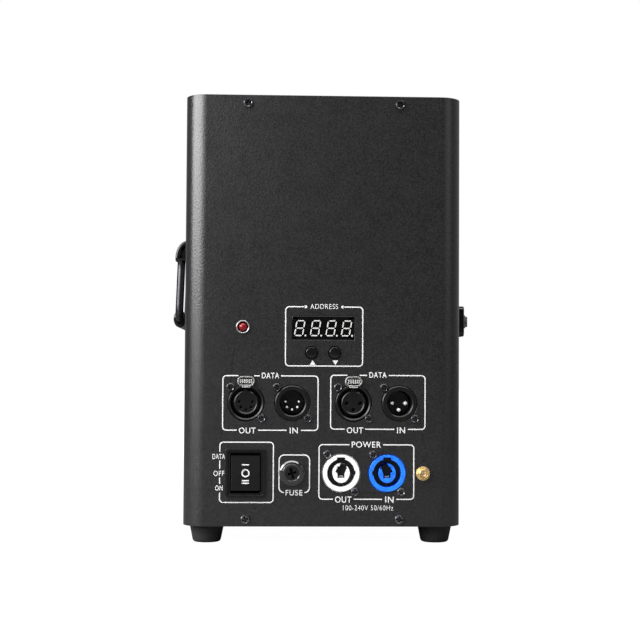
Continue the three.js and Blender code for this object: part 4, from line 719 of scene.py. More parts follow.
rivets = [
    placed(rivet, (leaf_outer - 0.05, hinge_y + rivet_offset, z), sideways)
    for z in (97, 127, 152.5, 178, 208)
]
piece("leaf_rivets_fixed", rivets, black_plate, "housing")
moving_rivets = [rivet + (0, -2 * rivet_offset, 0) for rivet in rivets]
piece("leaf_rivets_moving", moving_rivets, black_plate, "door")

# Latch: a square moulded housing on the door, a turn knob on a steel shaft, and a steel
# cam behind the door that catches the lip.
#
# ABS, injection moulded in a polished tool: black, smooth, with clear soft reflections.
gloss_black = grained("abs_moulded_gloss_black", "#0b0b0c", "#111112", 0.13, 6.0, 0.01)
latch = (half_width, latch_y, latch_z)


def placed_all(grids, origin, axes):
    """Several grids placed alike."""
    return [placed(grid, origin, axes) for grid in grids]


housing_block = slab(rounded(-10, 10, -10.5, 10.5, 3), 0, 9.9, 0.1, 1.0)
collar = turned([(5.9, 9.4), (7.4, 9.4), (7.2, 10.2), (6.1, 10.2), (5.9, 9.4)], [0.1, 0.25, 0.2], 56)
piece("latch_case", placed_all([housing_block, collar], latch, sideways), gloss_black, "door",
      ("latch_housing",))
knob = turned([
    (0, -9), (3, -9), (3, 9.8), (5.6, 9.8), (5.5, 10.6), (3.4, 12.7), (0, 13.1),
], [0.2, 0, 0.15, 0.5, 1.6])
wing = slab(rounded(-0.9, 0.9, -3.6, 3.6, 0.85), 10.4, 13.4, 0.1, 0.4)
nut = slab(circle(5.0, steps=6), -9.0, -6.0, 0.3)
piece("latch_turn_knob", placed_all([knob, wing, nut], latch, sideways), black_plate, "latch",
      ("latch_knob",))
cam = slab(rounded(-5, 5, -5, 13, (3, 3, 4.95, 4.95)), -5.7, -3.7, 0.3)
piece("latch_cam_plate", [placed(cam, latch, sideways)], zinc, "latch",
      ("latch_cam",))

# Drop handle: two moulded hoods screwed to the left side, a bent steel rod that swings in
# them, and a moulded grip on the rod.
inwards = np.array([[1, 0, 0], [0, 0, 1], [0, 1.0, 0]])
hood_z, hood_reach, hood_top, hood_half, hood_spacing = 186.5, 9.2, 14.0, 8.0, 60.0
hood_lip, hood_root = 2, 1.1
angle = np.linspace(0, np.pi / 2, 14)
hood_arc = np.stack([
    -hood_reach * np.cos(angle), hood_lip + (hood_top - hood_lip) * np.sin(angle),
], axis=-1)
hood_outline = np.concatenate([hood_arc, [(hood_root, hood_top), (hood_root, 0), (-hood_reach, 0)]])
for name, side in (("rear", -1), ("front", 1)):
    hood = slab(hood_outline, -hood_half, hood_half, 1.4)
    origin = (-half_width, body_depth / 2 + side * hood_spacing, hood_z)
    piece(f"hood_{name}", [placed(hood, origin, inwards)], gloss_black, "housing",
          (f"handle_bracket_{name}",))


def tube(path, radius, across, sides=20):
    """A round bar along a path that lies in one plane: path + radius (cos a across + sin a
    (across x tangent)). Each end closes on its middle."""
    tangent = np.gradient(path, axis=0)
    tangent /= np.linalg.norm(tangent, axis=1, keepdims=True)
    across = np.asarray(across, float) / np.linalg.norm(across)
    other = np.cross(across, tangent)
    angle = np.linspace(0, 2 * np.pi, sides + 1)[None, :, None]
    rows = path[:, None] + radius * (np.cos(angle) * across + np.sin(angle) * other[:, None])
    first, last = 0 * rows[:1] + path[0], 0 * rows[:1] + path[-1]
    return np.concatenate([first, rows, last])


pivot = np.array([-half_width - 6.2, body_depth / 2, hood_z + 4.3])
drop, lean, arm, tip, rod_bend, rod_radius = 43.0, 1.5, 46.7, 60.7, 6.5, 2.75
bail_corners = [
    (0, -tip, 0), (0, -arm, 0), (-lean, -arm, -drop), (-lean, arm, -drop), (0, arm, 0), (0, tip, 0),
]
bail = tube(softened(bail_corners, rod_bend, 9) + pivot, rod_radius, (drop, 0, -lean))
# Mild steel rod, ground, with black chrome over nickel, dark and smoky with a long soft line of
# light along it. The push tabs' sunk fields are drawn in it too, darker than their rims.
black_chrome = grained("black_chrome_plated_rod", "#47474a", "#555558", 0.24, 1.2, 0.01, **{
    "Metallic": 1.0,
})
piece("bail_rod", [bail], black_chrome, "handle", ("handle_bail",))
grip_thick, grip_wide, grip_end = 4.3, 6.0, 41.7
angle = np.linspace(0, 2 * np.pi, 48, endpoint=False)
grip_outline = np.stack([grip_thick * np.cos(angle), grip_wide * np.sin(angle)], axis=-1)
grip = slab(grip_outline, -grip_end, grip_end, 1.6)
piece("grip_moulding", [placed(grip, pivot + (-lean, 0, -drop), inwards)], gloss_black, "handle",
      ("handle_grip",))

# Flame mouth: a stainless cup, spun and brushed, let into the top plate, with a flange and
# four screws. It stands over the middle of the can bay.
lid, bay_y = 289.5, 140.0


def brushed(name, dark, pale, roughness, stretch, **shader_settings):
    """A brushed metal: a noise stretched along one way draws fine lines of tone and relief.
    The stretch scales the noise along x, y and z, and is least along the lines."""
    line_pitch, gloss_drift = 0.5 * mm, 0.06
    made = blank_material(name)
    tree = made.node_tree
    place = node(tree, "ShaderNodeTexCoord", {}).outputs["Object"]
    along = node(tree, "ShaderNodeMapping", {"Vector": place, "Scale": stretch})
    line = node(tree, "ShaderNodeTexNoise", {
        "Vector": along.outputs[0], "Scale": 1 / line_pitch, "Detail": 3, "Roughness": 0.65,
    })
    tone = node(tree, "ShaderNodeMix", {
        "data_type": "RGBA", 0: line.outputs[0], 6: srgb(dark), 7: srgb(pale),
    })
    gloss = node(tree, "ShaderNodeMapRange", {
        "Value": line.outputs[0],
        "To Min": roughness - gloss_drift, "To Max": roughness + gloss_drift,
    })
    bump = node(tree, "ShaderNodeBump", {
        "Strength": 0.3, "Distance": 0.02 * mm, "Height": line.outputs[0],
    })
    shader = node(tree, "ShaderNodeBsdfPrincipled", {
        "Base Color": tone.outputs[2],
        "Roughness": gloss.outputs[0],
        "Normal": bump.outputs[0],
        "Metallic": 1.0,
        **shader_settings,
    })
    node(tree, "ShaderNodeOutputMaterial", {"Surface": shader.outputs[0]})
    return made


# 304 stainless steel, spun on a lathe and brushed: mid grey with fine rings round the cup.
# The real lines are about 0.1 mm apart and are drawn at 0.5 so that they show.
stainless = brushed("stainless_304_brushed", "#a3a3a1", "#cbcbc8", 0.3, (0.05, 0.05, 1.0))
cup_bottom, mouth_screw_circle, mouth_screw = -30, 36.1, (2.3, 1.3)
mouth = turned([
    (39, 1), (39, 0), (33, 0), (33, cup_bottom - 1), (8.3, cup_bottom - 1), (8.3, cup_bottom),
    (32, cup_bottom), (32, 1), (39, 1),
], [0.2, 0.2, 3.0, 0.2, 0.2, 2.6, 0.8], 96)
piece("mouth_cup", [placed(mouth, (0, bay_y, lid))], stainless, "housing",
      ("flame_mouth",))
mouth_screws = []
for a in np.radians([45, 135, 225, 315]):
    x, y = mouth_screw_circle * np.cos(a), bay_y + mouth_screw_circle * np.sin(a)
    mouth_screws.append(pan_screw(*mouth_screw, x, y, lid + 1, upright, a))
piece("mouth_screws", mouth_screws, zinc, "housing")

# Burner nozzle: free-cutting brass, turned, with a cone at its tip and a flange that
# clamps under the cup.
#
# Brass, turned: warm yellow with fine tool rings, which draw the light out into bands. The
# real rings are as fine as on the stainless and are drawn as coarse.
brass = brushed("brass_turned", "#a9803a", "#d2ab5c", 0.26, (0.05, 0.05, 1.0))
nozzle = turned([
    (1.5, -22), (5, -22), (8, -26), (8, -31.3), (11, -31.3), (11, -33.8), (7, -33.8), (7, -41.8),
    (4, -41.8), (4, -36.3), (1.5, -33.8), (1.5, -22),
], [0.3, 0.4, 0.1, 0.3, 0.3, 0.1, 0.2, 0.2, 0.1, 0.1])
piece("nozzle_turning", [placed(nozzle, (0, bay_y, lid))], brass, "housing",
      ("burner_nozzle",))

# Spark electrodes: stainless rods bent in to a gap over the nozzle, each in a glazed
# ceramic insulator with a collar and two sheds.
#
# Alumina, pressed, fired and glazed: ivory white, faintly uneven, under a thin hard gloss.
alumina = grained("alumina_glazed", "#e6dfd2", "#f2ede3", 0.16, 4.0, 0.02, **{"Coat Weight": 0.5})
electrode_offset, electrode_rise, electrode_run, electrode_radius = 19, 18, 17, 1.0
for name, side in (("left", -1), ("right", 1)):
    insulator = turned([
        (1.3, 11), (2.8, 11), (3.0, 8.6), (4.3, 8.0), (3.4, 7.2), (3.6, 5.8), (5.0, 5.2),
        (4.2, 4.2), (5.5, 3), (5.5, 0.3), (4, 0.3), (4, -7), (1.3, -7), (1.3, 11),
    ], [0.4, 0.3, 0.3, 0.3, 0.3, 0.3, 0.3, 0.5, 0.3, 0.1, 0.4, 0.1], 40)
    place = (side * electrode_offset, bay_y, lid + cup_bottom)
    piece(f"ceramic_{name}", [placed(insulator, place)], alumina, "housing",
          (f"insulator_{name}",))
    corners = [(0, 0, -9), (0, 0, electrode_rise), (-side * electrode_run, 0, electrode_rise)]
    rod = tube(softened(corners, 5, 9) + np.array(place), electrode_radius, (0, 1, 0), 16)
    piece(f"spark_rod_{name}", [rod], stainless, "housing", (f"electrode_{name}",))

# Lift cup: pressed aluminium, satin anodised. The can stands in it, its stem rides in the
# press frame, and its wall drops to a sill towards the door.
#
# Aluminium, drawn, etched and clear anodised: a pale grey satin with faint upright lines,
# which are finer than a tenth of a millimetre and drawn at half of one.
anodised = brushed("aluminium_satin_anodised", "#a6a8aa", "#bcbec0", 0.4, (1.0, 1.0, 0.1))
cup_low, stem_depth, cup_wall, sill = 39.5, 7.5, 24, 4.5
cup = turned([
    (0, cup_low - stem_depth), (8, cup_low - stem_depth), (8, cup_low), (36, cup_low),
    (36, cup_low + cup_wall), (34, cup_low + cup_wall), (34, cup_low + 2), (0, cup_low + 2),
], [0.4, 0.5, 1.5, 0.5, 0.5, 1.2], 144)
# The rim's height goes from sill to wall with a smooth step 3 t^2 - 2 t^3, where t grows
# from 0 to 1 between 74 and 80 degrees away from the door.
from_axis = np.maximum(np.hypot(cup[..., 0], cup[..., 1]), 1e-6)
facing = np.arccos(np.clip(cup[..., 0] / from_axis, -1, 1))
ramp = np.clip((facing - np.radians(74)) / np.radians(6), 0, 1)
rim_height = cup_low + sill + (cup_wall - sill) * ramp * ramp * (3 - 2 * ramp)
lowered = np.minimum(cup[..., 2], rim_height)
cup[..., 2] = np.where(cup[..., 2] > cup_low + sill, lowered, cup[..., 2])
piece("cup_pressing", [placed(cup, (0, bay_y, 0))], anodised, "can_lift",
      ("lift_cup",))

# Can clip: spring steel strip rolled into an open ring with flared lips, blackened, and
# riveted to the partition through a pad.
clip_low, clip_radius, clip_height, clip_gap = 133.2, 35, 16, 52
section = rounded(-1, 1, 0, clip_height, 0.45, 4)
section = np.concatenate([section, section[:1]])
turn_angle = np.linspace(np.radians(clip_gap), np.radians(360 - clip_gap), 120)
# The strip's section is carried round the circle, and its last 9 degrees flare outwards by
# 2.2 (1 - t)^2, where t is the angle from the end over 9 degrees.
from_end = np.minimum(turn_angle - turn_angle[0], turn_angle[-1] - turn_angle)
flare = 2.2 * np.clip(1 - from_end / np.radians(9), 0, 1) ** 2
reach = clip_radius + flare[:, None] + section[None, :, 0]
clip = np.stack([
    reach * np.cos(turn_angle)[:, None],
    reach * np.sin(turn_angle)[:, None],
    clip_low + section[None, :, 1] + 0 * reach,
], axis=-1)
ends = [0 * clip[:1] + clip[i].mean(axis=0) for i in (0, -1)]
clip = placed(np.concatenate([ends[0], clip, ends[1]]), (0, bay_y, 0))
pad_outline = rounded(-9, 9, clip_low + 0.3, clip_low + clip_height - 0.3, 1.5)
pad = placed(slab(pad_outline, -37.5, -34.9, 0.3), (0, bay_y, 0), sideways)
piece("clip_spring", [clip, pad], black_plate, "housing", ("can_clip",))

# Solenoid: a bent yoke round a coil that is wound and taped. The plunger is ground
# stainless, and the return spring is zinc-plated music wire.
#
# Polyester tape, wound over the coil and varnished: red brown, with a dull gloss and the
# slight unevenness of the turns below it.
coil_tape = grained("polyester_coil_tape", "#6a2817", "#823520", 0.34, 2.4, 0.03)
dressed("solenoid_body", coil_tape, 0.4)
dressed("plunger", stainless, 0.25)
coil_place = np.array([-63.0, bay_y, 0.0])
wire, coil, turns, spring_low, spring_high = 0.8, 8.0, 6, 49.0, 67.8


def spring_rows(steps=360, sides=12):
    """A helix of radius R that climbs evenly, with a round section in the plane of its outward
    way and the one across it: centre + r (cos a outward + sin a upward)."""
    t = np.linspace(0, 1, steps + 1)
    angle = 2 * np.pi * turns * t
    outward = np.stack([np.cos(angle), np.sin(angle), 0 * t], axis=-1)
    climb = spring_low + (spring_high - spring_low) * t
    centre = coil * outward + np.stack([0 * t, 0 * t, climb], axis=-1)
    tangent = np.gradient(centre, axis=0)
    tangent /= np.linalg.norm(tangent, axis=1, keepdims=True)
    upward = np.cross(tangent, outward)
    a = np.linspace(0, 2 * np.pi, sides + 1)[None, :, None]
    rows = centre[:, None] + wire * (np.cos(a) * outward[:, None] + np.sin(a) * upward[:, None])
    return np.concatenate([0 * rows[:1] + centre[0], rows, 0 * rows[:1] + centre[-1]])


spring = piece("spring_coil", [placed(spring_rows(), coil_place)], zinc, "housing",
               ("return_spring",))
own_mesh(spring)

# Signal outlets: moulded shells whose rings stand just proud of the panel, with flanges
# behind it, an insert with holes for the contacts, and a die-cast tab that is pushed in to
# free the plug.
#
# PA66 with glass fibre, moulded in a fine-eroded tool: black, satin, a little grey.
satin_black = grained("pa66_moulded_satin_black", "#070708", "#0d0d0e", 0.3, 0.6, 0.015, **{
    "Specular IOR Level": 0.42,
})
# Zinc, die cast and plated with satin chrome: whitish, soft, hardly mirroring. The inlets'
# pins have the same plating.
satin_chrome = grained("satin_chrome_plated_zinc", "#e0e0de", "#f2f2f0", 0.42, 2.0, 0.01, **{
    "Metallic": 0.3,
})
five_angles, three_angles = np.radians([10, -40, -90, -140, 170]), np.radians([0, -90, 180])
contact_circle = 4.4
flange_face, flange_thickness, moulded_rim = 1.5, 1.8, 0.15
tab_face, tab_back, rib_pitch, rib_half = -3.1, -1.95, 1.15, 0.28


def socket_flange(name, x, z, bore, material):
    """The flange behind the panel, a plate with the shell's hole."""
    plate = rounded(-13, 13, -15.5, 15.5, 2, 4)
    flat, triangles = cut_sheet(plate, [circle(bore, steps=64)])
    points = placed(at_depth(flat, flange_face), (x, 0, z), inwards)
    sheet_piece(name, points, triangles, flange_thickness, moulded_rim, material, "housing")


def contact_holes(angles, radius):
    """The outlines of the contacts on their circle."""
    return [
        circle(radius, contact_circle * np.cos(a), contact_circle * np.sin(a), 24) for a in angles
    ]


for kind, x, angles, radius in (
    ("five_pole", signal_columns[0], five_angles, 0.9),
    ("three_pole", signal_columns[2], three_angles, 1.35),
):
    place = (x, 0, signal_row)
    shell = turned([
        (0, 20), (10.0, 20), (10.0, -0.2), (10.9, -0.7), (11.2, -0.7), (11.7, -0.2), (11.7, 22),
        (0, 22),
    ], [0.4, 0.1, 0.1, 0.12, 0.3, 0.3], 96)
    piece(f"{kind}_outlet_ring", [placed(shell, place, inwards)], satin_black, "housing",
          (f"{kind}_out_shell",))
    socket_flange(f"{kind}_outlet_flange", x, signal_row, 11.5, satin_black)
    flat, triangles = cut_sheet(circle(7.0), contact_holes(angles, radius))
    face = placed(at_depth(flat, 0.5), place, inwards)
    sheet_piece(f"{kind}_outlet_face", face, triangles, 9, moulded_rim, satin_black, "housing",
                (f"{kind}_out_insert",))
    rim = turned([(6.4, 19), (7.75, 19), (7.75, 0.3), (7.2, 0), (7.0, 0), (6.4, 0.4), (6.4, 19)],
                 [0.2, 0.1, 0.1, 0.1, 0.1], 96)
    key = slab(rounded(-1.2, 1.2, 7.2, 8.75, 0.35, 4), 0.3, 19, 0.2)
    back = turned([(0, 9), (6.9, 9), (6.9, 19.4), (0, 19.4)], 0.2)
    piece(f"{kind}_outlet_rim", placed_all([rim, key, back], place, inwards), satin_black,
          "housing")
    latch_bar = slab(rounded(-2.5, 2.5, 12.2, 15.2, 0.5, 4), -2.2, 9.0, 0.1, 0.3)
    tab_origin = (x, 0, signal_row + tab_rise)
    body = f"{kind}_tab"
    tab_outline = rounded(-5.5, 5.5, -3.2, 3.2, 3.15, 12)
    tab_field = rounded(-4.7, 4.7, -2.4, 2.4, 2.35, 12)
    tab_rim = ring(tab_outline, tab_field, tab_face, tab_back, 0.2)
    neck = slab(rounded(-2.6, 2.6, -4.0, -2.7, 0.4, 4), tab_face + 0.3, tab_back, 0.25)
    field = slab(tab_field * 1.02, tab_back - 0.3, tab_back, 0.05)
    bars = [
        slab(cut_out(rib_pitch * i, 0, rib_half, 1.3, 0.25, 4), tab_face + 0.3, -2.1, 0.12)
        for i in range(-3, 4)
    ]
    rim_grids = placed_all([tab_rim, neck], tab_origin, inwards)
    rim_grids.append(placed(latch_bar, place, inwards))
    piece(f"{kind}_push_tab_rim", rim_grids, satin_chrome, body,
          (f"{kind}_out_push_tab",))
    piece(f"{kind}_push_tab_bars", placed_all(bars, tab_origin, inwards), satin_chrome, body)
    # The sunk field is drawn in the darker black chrome, darker than the rim around it.
    piece(f"{kind}_push_tab_field", [placed(field, tab_origin, inwards)], black_chrome, body)

# Signal inlets: the same moulded shells with a deep round cavity in place of the insert.
# Solid turned pins stand in it, pressed into a moulded bed.
pin_root, pin_top = 14.6, 3.9
for kind, x, angles, radius in (
    ("five_pole", signal_columns[1], five_angles, 0.75),
    ("three_pole", signal_columns[3], three_angles, 1.2),
):
    place = (x, 0, signal_row)
    shell = turned([
        (0, 20), (8.15, 20), (8.15, -0.3), (8.9, -0.7), (10.7, -0.7), (11.4, -0.1), (11.4, 22),
        (0, 22),
    ], [0.4, 0.1, 0.1, 0.2, 0.3, 0.3], 96)
    bed = turned([(0, 14.2), (7.85, 14.2), (7.85, 19.7), (0, 19.7)], 0.3)
    piece(f"{kind}_inlet_ring", placed_all([shell, bed], place, inwards), satin_black, "housing",
          (f"{kind}_in_shell",))
    socket_flange(f"{kind}_inlet_flange", x, signal_row, 11.2, satin_black)
    prong = turned([
        (0, pin_root), (radius, pin_root), (radius, pin_top), (0, pin_top - 0.55 * radius),
    ], [0, 0.3 * radius], 24)
    pins = []
    for a in angles:
        pin_x, pin_z = x + contact_circle * np.cos(a), signal_row + contact_circle * np.sin(a)
        pins.append(placed(prong, (pin_x, 0, pin_z), inwards))
    piece(f"{kind}_inlet_pins", pins, satin_chrome, "housing", (f"{kind}_in_insert",))

# Power sockets: twist-lock sockets moulded in nylon, grey for the outlet and blue for the
# inlet. A ring with two keyways stands round an oval core, whose cavity holds the contacts.
#
# PA6 nylon, moulded: even colour, satin, slightly translucent so its shadows stay soft.
grey_nylon = grained("pa6_moulded_grey", "#e9e9eb", "#f3f3f4", 0.36, 3.0, 0.01, **{
    "Subsurface Weight": 0.05, "Subsurface Radius": (mm, mm, mm),
})
# The same nylon dyed a strong blue, moulded in a smoother tool, so its highlights are crisper.
blue_nylon = grained("pa6_moulded_blue", "#126ef2", "#2084fe", 0.26, 3.0, 0.01, **{
    "Coat Weight": 0.4,
})
# Brass, stamped and plated with silver: pale and bright, with a soft mottle.
silver_plate = grained("silver_plated_brass", "#dddbd6", "#f6f5f2", 0.3, 2.0, 0.01, Metallic=1.0)
ring_bore, ring_outer, ring_face, groove = 9.0, 11.8, -0.7, 18.0
core_half_x, core_half_z, core_depth, notch_depth = 5.6, 6.3, 13.4, 4.0


def polar(reach):
    """An outline from its distance at each of 240 angles from +x."""
    angle = np.linspace(0, 2 * np.pi, 241)[:-1]
    return reach(angle)[:, None] * np.stack([np.cos(angle), np.sin(angle)], axis=-1)


def arm_reach(angle, towards, length, half):
    """How far a straight arm of this half width goes at each angle: min(length / cos,
    half / |sin|) on its own side, and nothing behind it."""
    c, s = np.cos(angle - towards), np.abs(np.sin(angle - towards))
    return np.where(c > 0, np.minimum(length / np.maximum(c, 1e-6), half / np.maximum(s, 1e-6)), 0)


def oval_reach(angle):
    """How far the core's ellipse goes at each angle: 1 / hypot(cos / half width, sin / half
    height)."""
    return 1 / np.hypot(np.cos(angle) / core_half_x, np.sin(angle) / core_half_z)


def gate(angle, towards, half, slope):
    """1 within half of an angle and 0 outside, with a smooth step 3 t^2 - 2 t^3 between."""
    away = np.abs((angle - towards + np.pi) % (2 * np.pi) - np.pi)
    t = np.clip((half - away) / slope, 0, 1)
    return t * t * (3 - 2 * t)


for name, x, side, nylon, slot in (
    ("power_out", power_out, 1, grey_nylon, "grey_plastic"),
    ("power_in", power_in, -1, blue_nylon, "blue_plastic"),
):
    place = (x, 0, power_row)
    side_key = 0 if side > 0 else np.pi
    bore = polar(lambda a: np.maximum.reduce([
        0 * a + ring_bore, arm_reach(a, np.pi / 2, 10.1, 2.6), arm_reach(a, side_key, 9.6, 1.35),
    ]))
    outer = polar(lambda a: 0 * a + ring_outer)
    collar = ring(outer, bore, ring_face, groove + 0.5, 0.25)
    bottom = slab(outer * 0.995, groove, 26, 0.3)
    piece(f"{name}_ring", placed_all([collar, bottom], place, inwards), nylon, "housing",
          (f"{name}_shell",))
    socket_flange(f"{name}_flange", x, power_row, 11.9, nylon)
    notch = np.radians(90 - side * 21)
    oval = polar(oval_reach)
    cavity = polar(lambda a: np.minimum(np.maximum.reduce([
        arm_reach(a, np.pi / 2, 4.2, 2.5),
        arm_reach(a, -np.pi / 2, 3.3, 2.4),
        arm_reach(a, notch, 5.9, 2.5),
        arm_reach(a, np.pi / 2 + side * 1.1, 3.7, 1.2),
        0 * a + 2.4,
    ]), 0.87 * oval_reach(a)))
    core = ring(oval, cavity, 0, core_depth, 0.25)
    core_angle = np.arctan2(core[..., 1], core[..., 0])
    sunk = notch_depth * gate(core_angle, notch, np.radians(27), np.radians(4))
    core[..., 2] += sunk * (1 - core[..., 2] / core_depth)
    base = slab(distinct(oval), 13, 17.9, 0.3)
    piece(f"{name}_oval", placed_all([core, base], place, inwards), nylon, "housing",
          (f"{name}_core",))
    # Black slabs sit a little way down the groove and in the core's cavity: a dark sheet that paints
    # the shade deep in the socket.
    painted_shade_floors = [slab(bore * 0.997, 7.0, 9.5, 0.1), slab(cavity * 0.98, 6.5, 9.5, 0.1)]
    piece(f"{name}_carrier", placed_all(painted_shade_floors, place, inwards), satin_black, "housing")
    blade = slab(rounded(-1.4, 1.4, -2.9, -1.9, 0.4, 4), 2.6, 13, 0.2)
    piece(f"{name}_contact", [placed(blade, place, inwards)], silver_plate, "housing")

# Rocker switch: a snap-in body with a stepped bezel and three tabs for wires, and a rocker
# with a shallow valley in its face, level in its middle position. All of it is moulded in
# satin black.
switch = (switch_column, 0, power_row)
bezel_outer = rounded(-12.9, 12.9, -15.5, 15.5, 1.6)
bezel_step = rounded(-11.2, 11.2, -14.0, 14.0, 1.0)
bezel_inner = rounded(-9.8, 9.8, -12.9, 12.9, 0.6)
bezel = [
    ring(bezel_outer, bezel_step, -2.0, -0.02, 0.25),
    ring(bezel_step * 1.001, bezel_inner, -1.2, 12, 0.2),
    slab(rounded(-11, 11, -13.9, 13.9, 0.8), 8.6, 21, 0.3),
]
for row in (-8, 0, 8):
    bezel.append(slab(cut_out(0, row, 3.15, 0.4, 0.3, 3), 20.5, 29, 0.1))
piece("switch_bezel", placed_all(bezel, switch, inwards), satin_black, "housing",
      ("rocker_frame",))
rocker_half, rocker_proud, valley = 11.1, -2.5, 0.3


def rocker_depth(z):
    """How far in the rocker's face lies at a height from its middle: a valley, cos^2 of a
    quarter turn over the half height, deepest in the middle."""
    quarter = np.clip(z / rocker_half, -1, 1) * np.pi / 2
    return rocker_proud + valley * np.cos(quarter) ** 2


rocker_z = np.linspace(-rocker_half, rocker_half, 40)
rocker_face = np.stack([rocker_depth(rocker_z), rocker_z], axis=-1)
rocker_back = np.array([(1.5, 12.0), (6.2, 6.3), (6.2, -6.3), (1.5, -12.0)])
rocker = slab(np.concatenate([rocker_face, rocker_back]), -9.3, 9.3, 0.45)
piece("rocker_key", [placed(rocker, switch, sideways)], satin_black, "switch_rocker",
      ("rocker",))

# Marks on the rocker: white ink, pad printed, one bar for one way, a ring for off and two
# bars for the other way.
#
# Two-part printing ink, printed and baked: flat matt white, a little uneven where it is thin.
white_ink = grained("white_printing_ink", "#d4d4d4", "#e8e8e8", 0.55, 0.5, 0.004)
pad_ink = 0.06


def mark(outline, depth):
    """A thin layer of ink: a slab that starts as far behind the face as it ends before it."""
    return slab(outline, -depth, depth, 0.0)


marks = [mark(cut_out(0, z, 2.3, 0.38, 0.1, 2), pad_ink) for z in (5.35, -4.75, -6.4)]
marks.append(ring(circle(2.6, steps=48), circle(1.8, steps=48), -pad_ink, pad_ink, 0.0))
for grid in marks:
    grid[..., 2] += rocker_depth(grid[..., 1])
piece("rocker_marks", placed_all(marks, switch, inwards), white_ink, "switch_rocker")

# Fuse holder: a glossy moulded body with a broad flange, and a cap with a cross slot that
# a screwdriver turns. The glass fuse link sits in the cap's grip.
fuse = (fuse_column, 0, power_row)
holder = turned([
    (0, 28), (5.6, 28), (5.6, -2.2), (7.0, -2.2), (8.1, -1.45), (8.3, -1.0), (8.3, -0.05),
    (7, -0.05), (7, 28), (5.6, 34), (0, 34),
], [0.2, 0.2, 0.3, 0.3, 0.3, 0.1, 0.1, 0.6, 0.5], 96)
# Phenolic resin, compression moulded and buffed: black, with a hard clear shine.
buffed_black = grained("phenolic_buffed_black", "#080808", "#0d0d0e", 0.16, 6.0, 0.006, **{
    "Specular IOR Level": 1.0, "Coat Weight": 1.0, "Coat Roughness": 0.12,
})
piece("fuse_body", [placed(holder, fuse, inwards)], buffed_black, "housing",
      ("fuse_holder",))
cap = turned([
    (0, -3.4), (4.4, -3.4), (4.4, -4.6), (4.8, -5.0), (6.1, -5.0), (6.35, -4.75), (6.35, -2.5),
    (0, -2.5),
], [0.1, 0.1, 0.1, 0.1, 0.1, 0.1], 96)
barrel = turned([(0, 4), (2.9, 4), (2.9, 8), (5.1, 8), (5.1, -2.6), (0, -2.6)], 0.1)
piece("fuse_cap_moulding", placed_all([cap, barrel], fuse, inwards), buffed_black, "fuse_knob",
      ("fuse_cap",))
# The cap's middle: a face with the cross slot cut through it, turned a little, over a black pad that
# paints the shade in the slot.
slot_half, slot_tall, slot_wide, slot_turn = 0.9, 3.5, 2.9, np.radians(16)
arm = np.array([
    (slot_half, slot_half), (slot_half, slot_tall), (-slot_half, slot_tall),
    (-slot_half, slot_half), (-slot_wide, slot_half), (-slot_wide, -slot_half),
])
c, s = np.cos(slot_turn), np.sin(slot_turn)
slots = np.concatenate([arm, -arm]) @ np.array([[c, s], [-s, c]])
# The same resin left as moulded: satin, a little greyer.
fuse_face = grained("phenolic_matt_black", "#0c0c0d", "#131314", 0.32, 1.0, 0.01)
flat, triangles = cut_sheet(circle(4.5), [slots])
face = placed(at_depth(flat, -4.6), fuse, inwards)
# A pad of matt black, almost without gloss, behind the cross slot: painted shade, so the slot looks
# black.
slot_shade_black = grained("painted_slot_shade_black", "#020202", "#050505", 0.9, 1.0, 0.05, **{
    "Specular IOR Level": 0.1,
})
slot_shade_pad = slab(circle(4.2), -3.5, -3.0, 0.05)
piece("fuse_cap_slot_shade", [placed(slot_shade_pad, fuse, inwards)], slot_shade_black, "fuse_knob")
sheet_piece("fuse_cap_face", face, triangles, 1.2, 0.12, fuse_face, "fuse_knob")

# Fuse link: a glass tube between two plated brass caps that are crimped and soldered on. It
# is held by its outer cap and comes out with the carrier.
#
# Soda-lime glass, drawn: clear, with a faint haze that softens what is seen through it.
link_glass = blank_material("soda_glass_tube")
tree = link_glass.node_tree
place = node(tree, "ShaderNodeTexCoord", {}).outputs["Object"]
haze = node(tree, "ShaderNodeTexNoise", {"Vector": place, "Scale": 1 / (2.5 * mm)})
clarity = node(tree, "ShaderNodeMapRange", {
    "Value": haze.outputs[0], "To Min": 0.02, "To Max": 0.08,
})
shader = node(tree, "ShaderNodeBsdfPrincipled", {
    "Base Color": srgb("#eef4f3"), "Roughness": clarity.outputs[0], "IOR": 1.51,
    "Transmission Weight": 0.9,
})
node(tree, "ShaderNodeOutputMaterial", {"Surface": shader.outputs[0]})
link = turned([(0, 4.9), (2.3, 4.9), (2.3, 23.7), (0, 23.7)], 0.1, 40)
cap_length = 5
caps = [
    turned([(0, low), (2.6, low), (2.6, low + cap_length), (0, low + cap_length)], 0.3, 40)
    for low in (4.3, 19.3)
]
piece("fuse_glass_tube", [placed(link, fuse, inwards)], link_glass, "fuse_carrier",
      ("fuse_link",))
piece("fuse_end_caps", placed_all(caps, fuse, inwards), silver_plate, "fuse_carrier")

# Status lamp: a turned and chromed bezel, held by its nut behind the panel, and a domed red
# lens pressed into it.
#
# Chrome plate on turned brass: neutral grey and bright, softened by the turning under it.
chrome = grained("chrome_plated_brass", "#b6b7b8", "#cfcfd0", 0.22, 5.0, 0.01, Metallic=0.9)
lamp = (lamp_place[0], 0, lamp_place[1])
bezel = turned([
    (3.3, 9), (3.3, -0.9), (3.65, -1.5), (4.1, -1.6), (4.5, -0.9), (4.5, -0.02), (3.7, -0.02),
    (3.7, 1.5), (5.7, 1.5), (5.7, 3.3), (3.7, 3.3), (3.7, 9), (3.3, 9),
], [0.2, 0.2, 0.4, 0.4, 0.1, 0.1, 0.1, 0.2, 0.2, 0.1, 0.1], 64)
piece("lamp_ring", [placed(bezel, lamp, inwards)], chrome, "housing", ("lamp_bezel",))
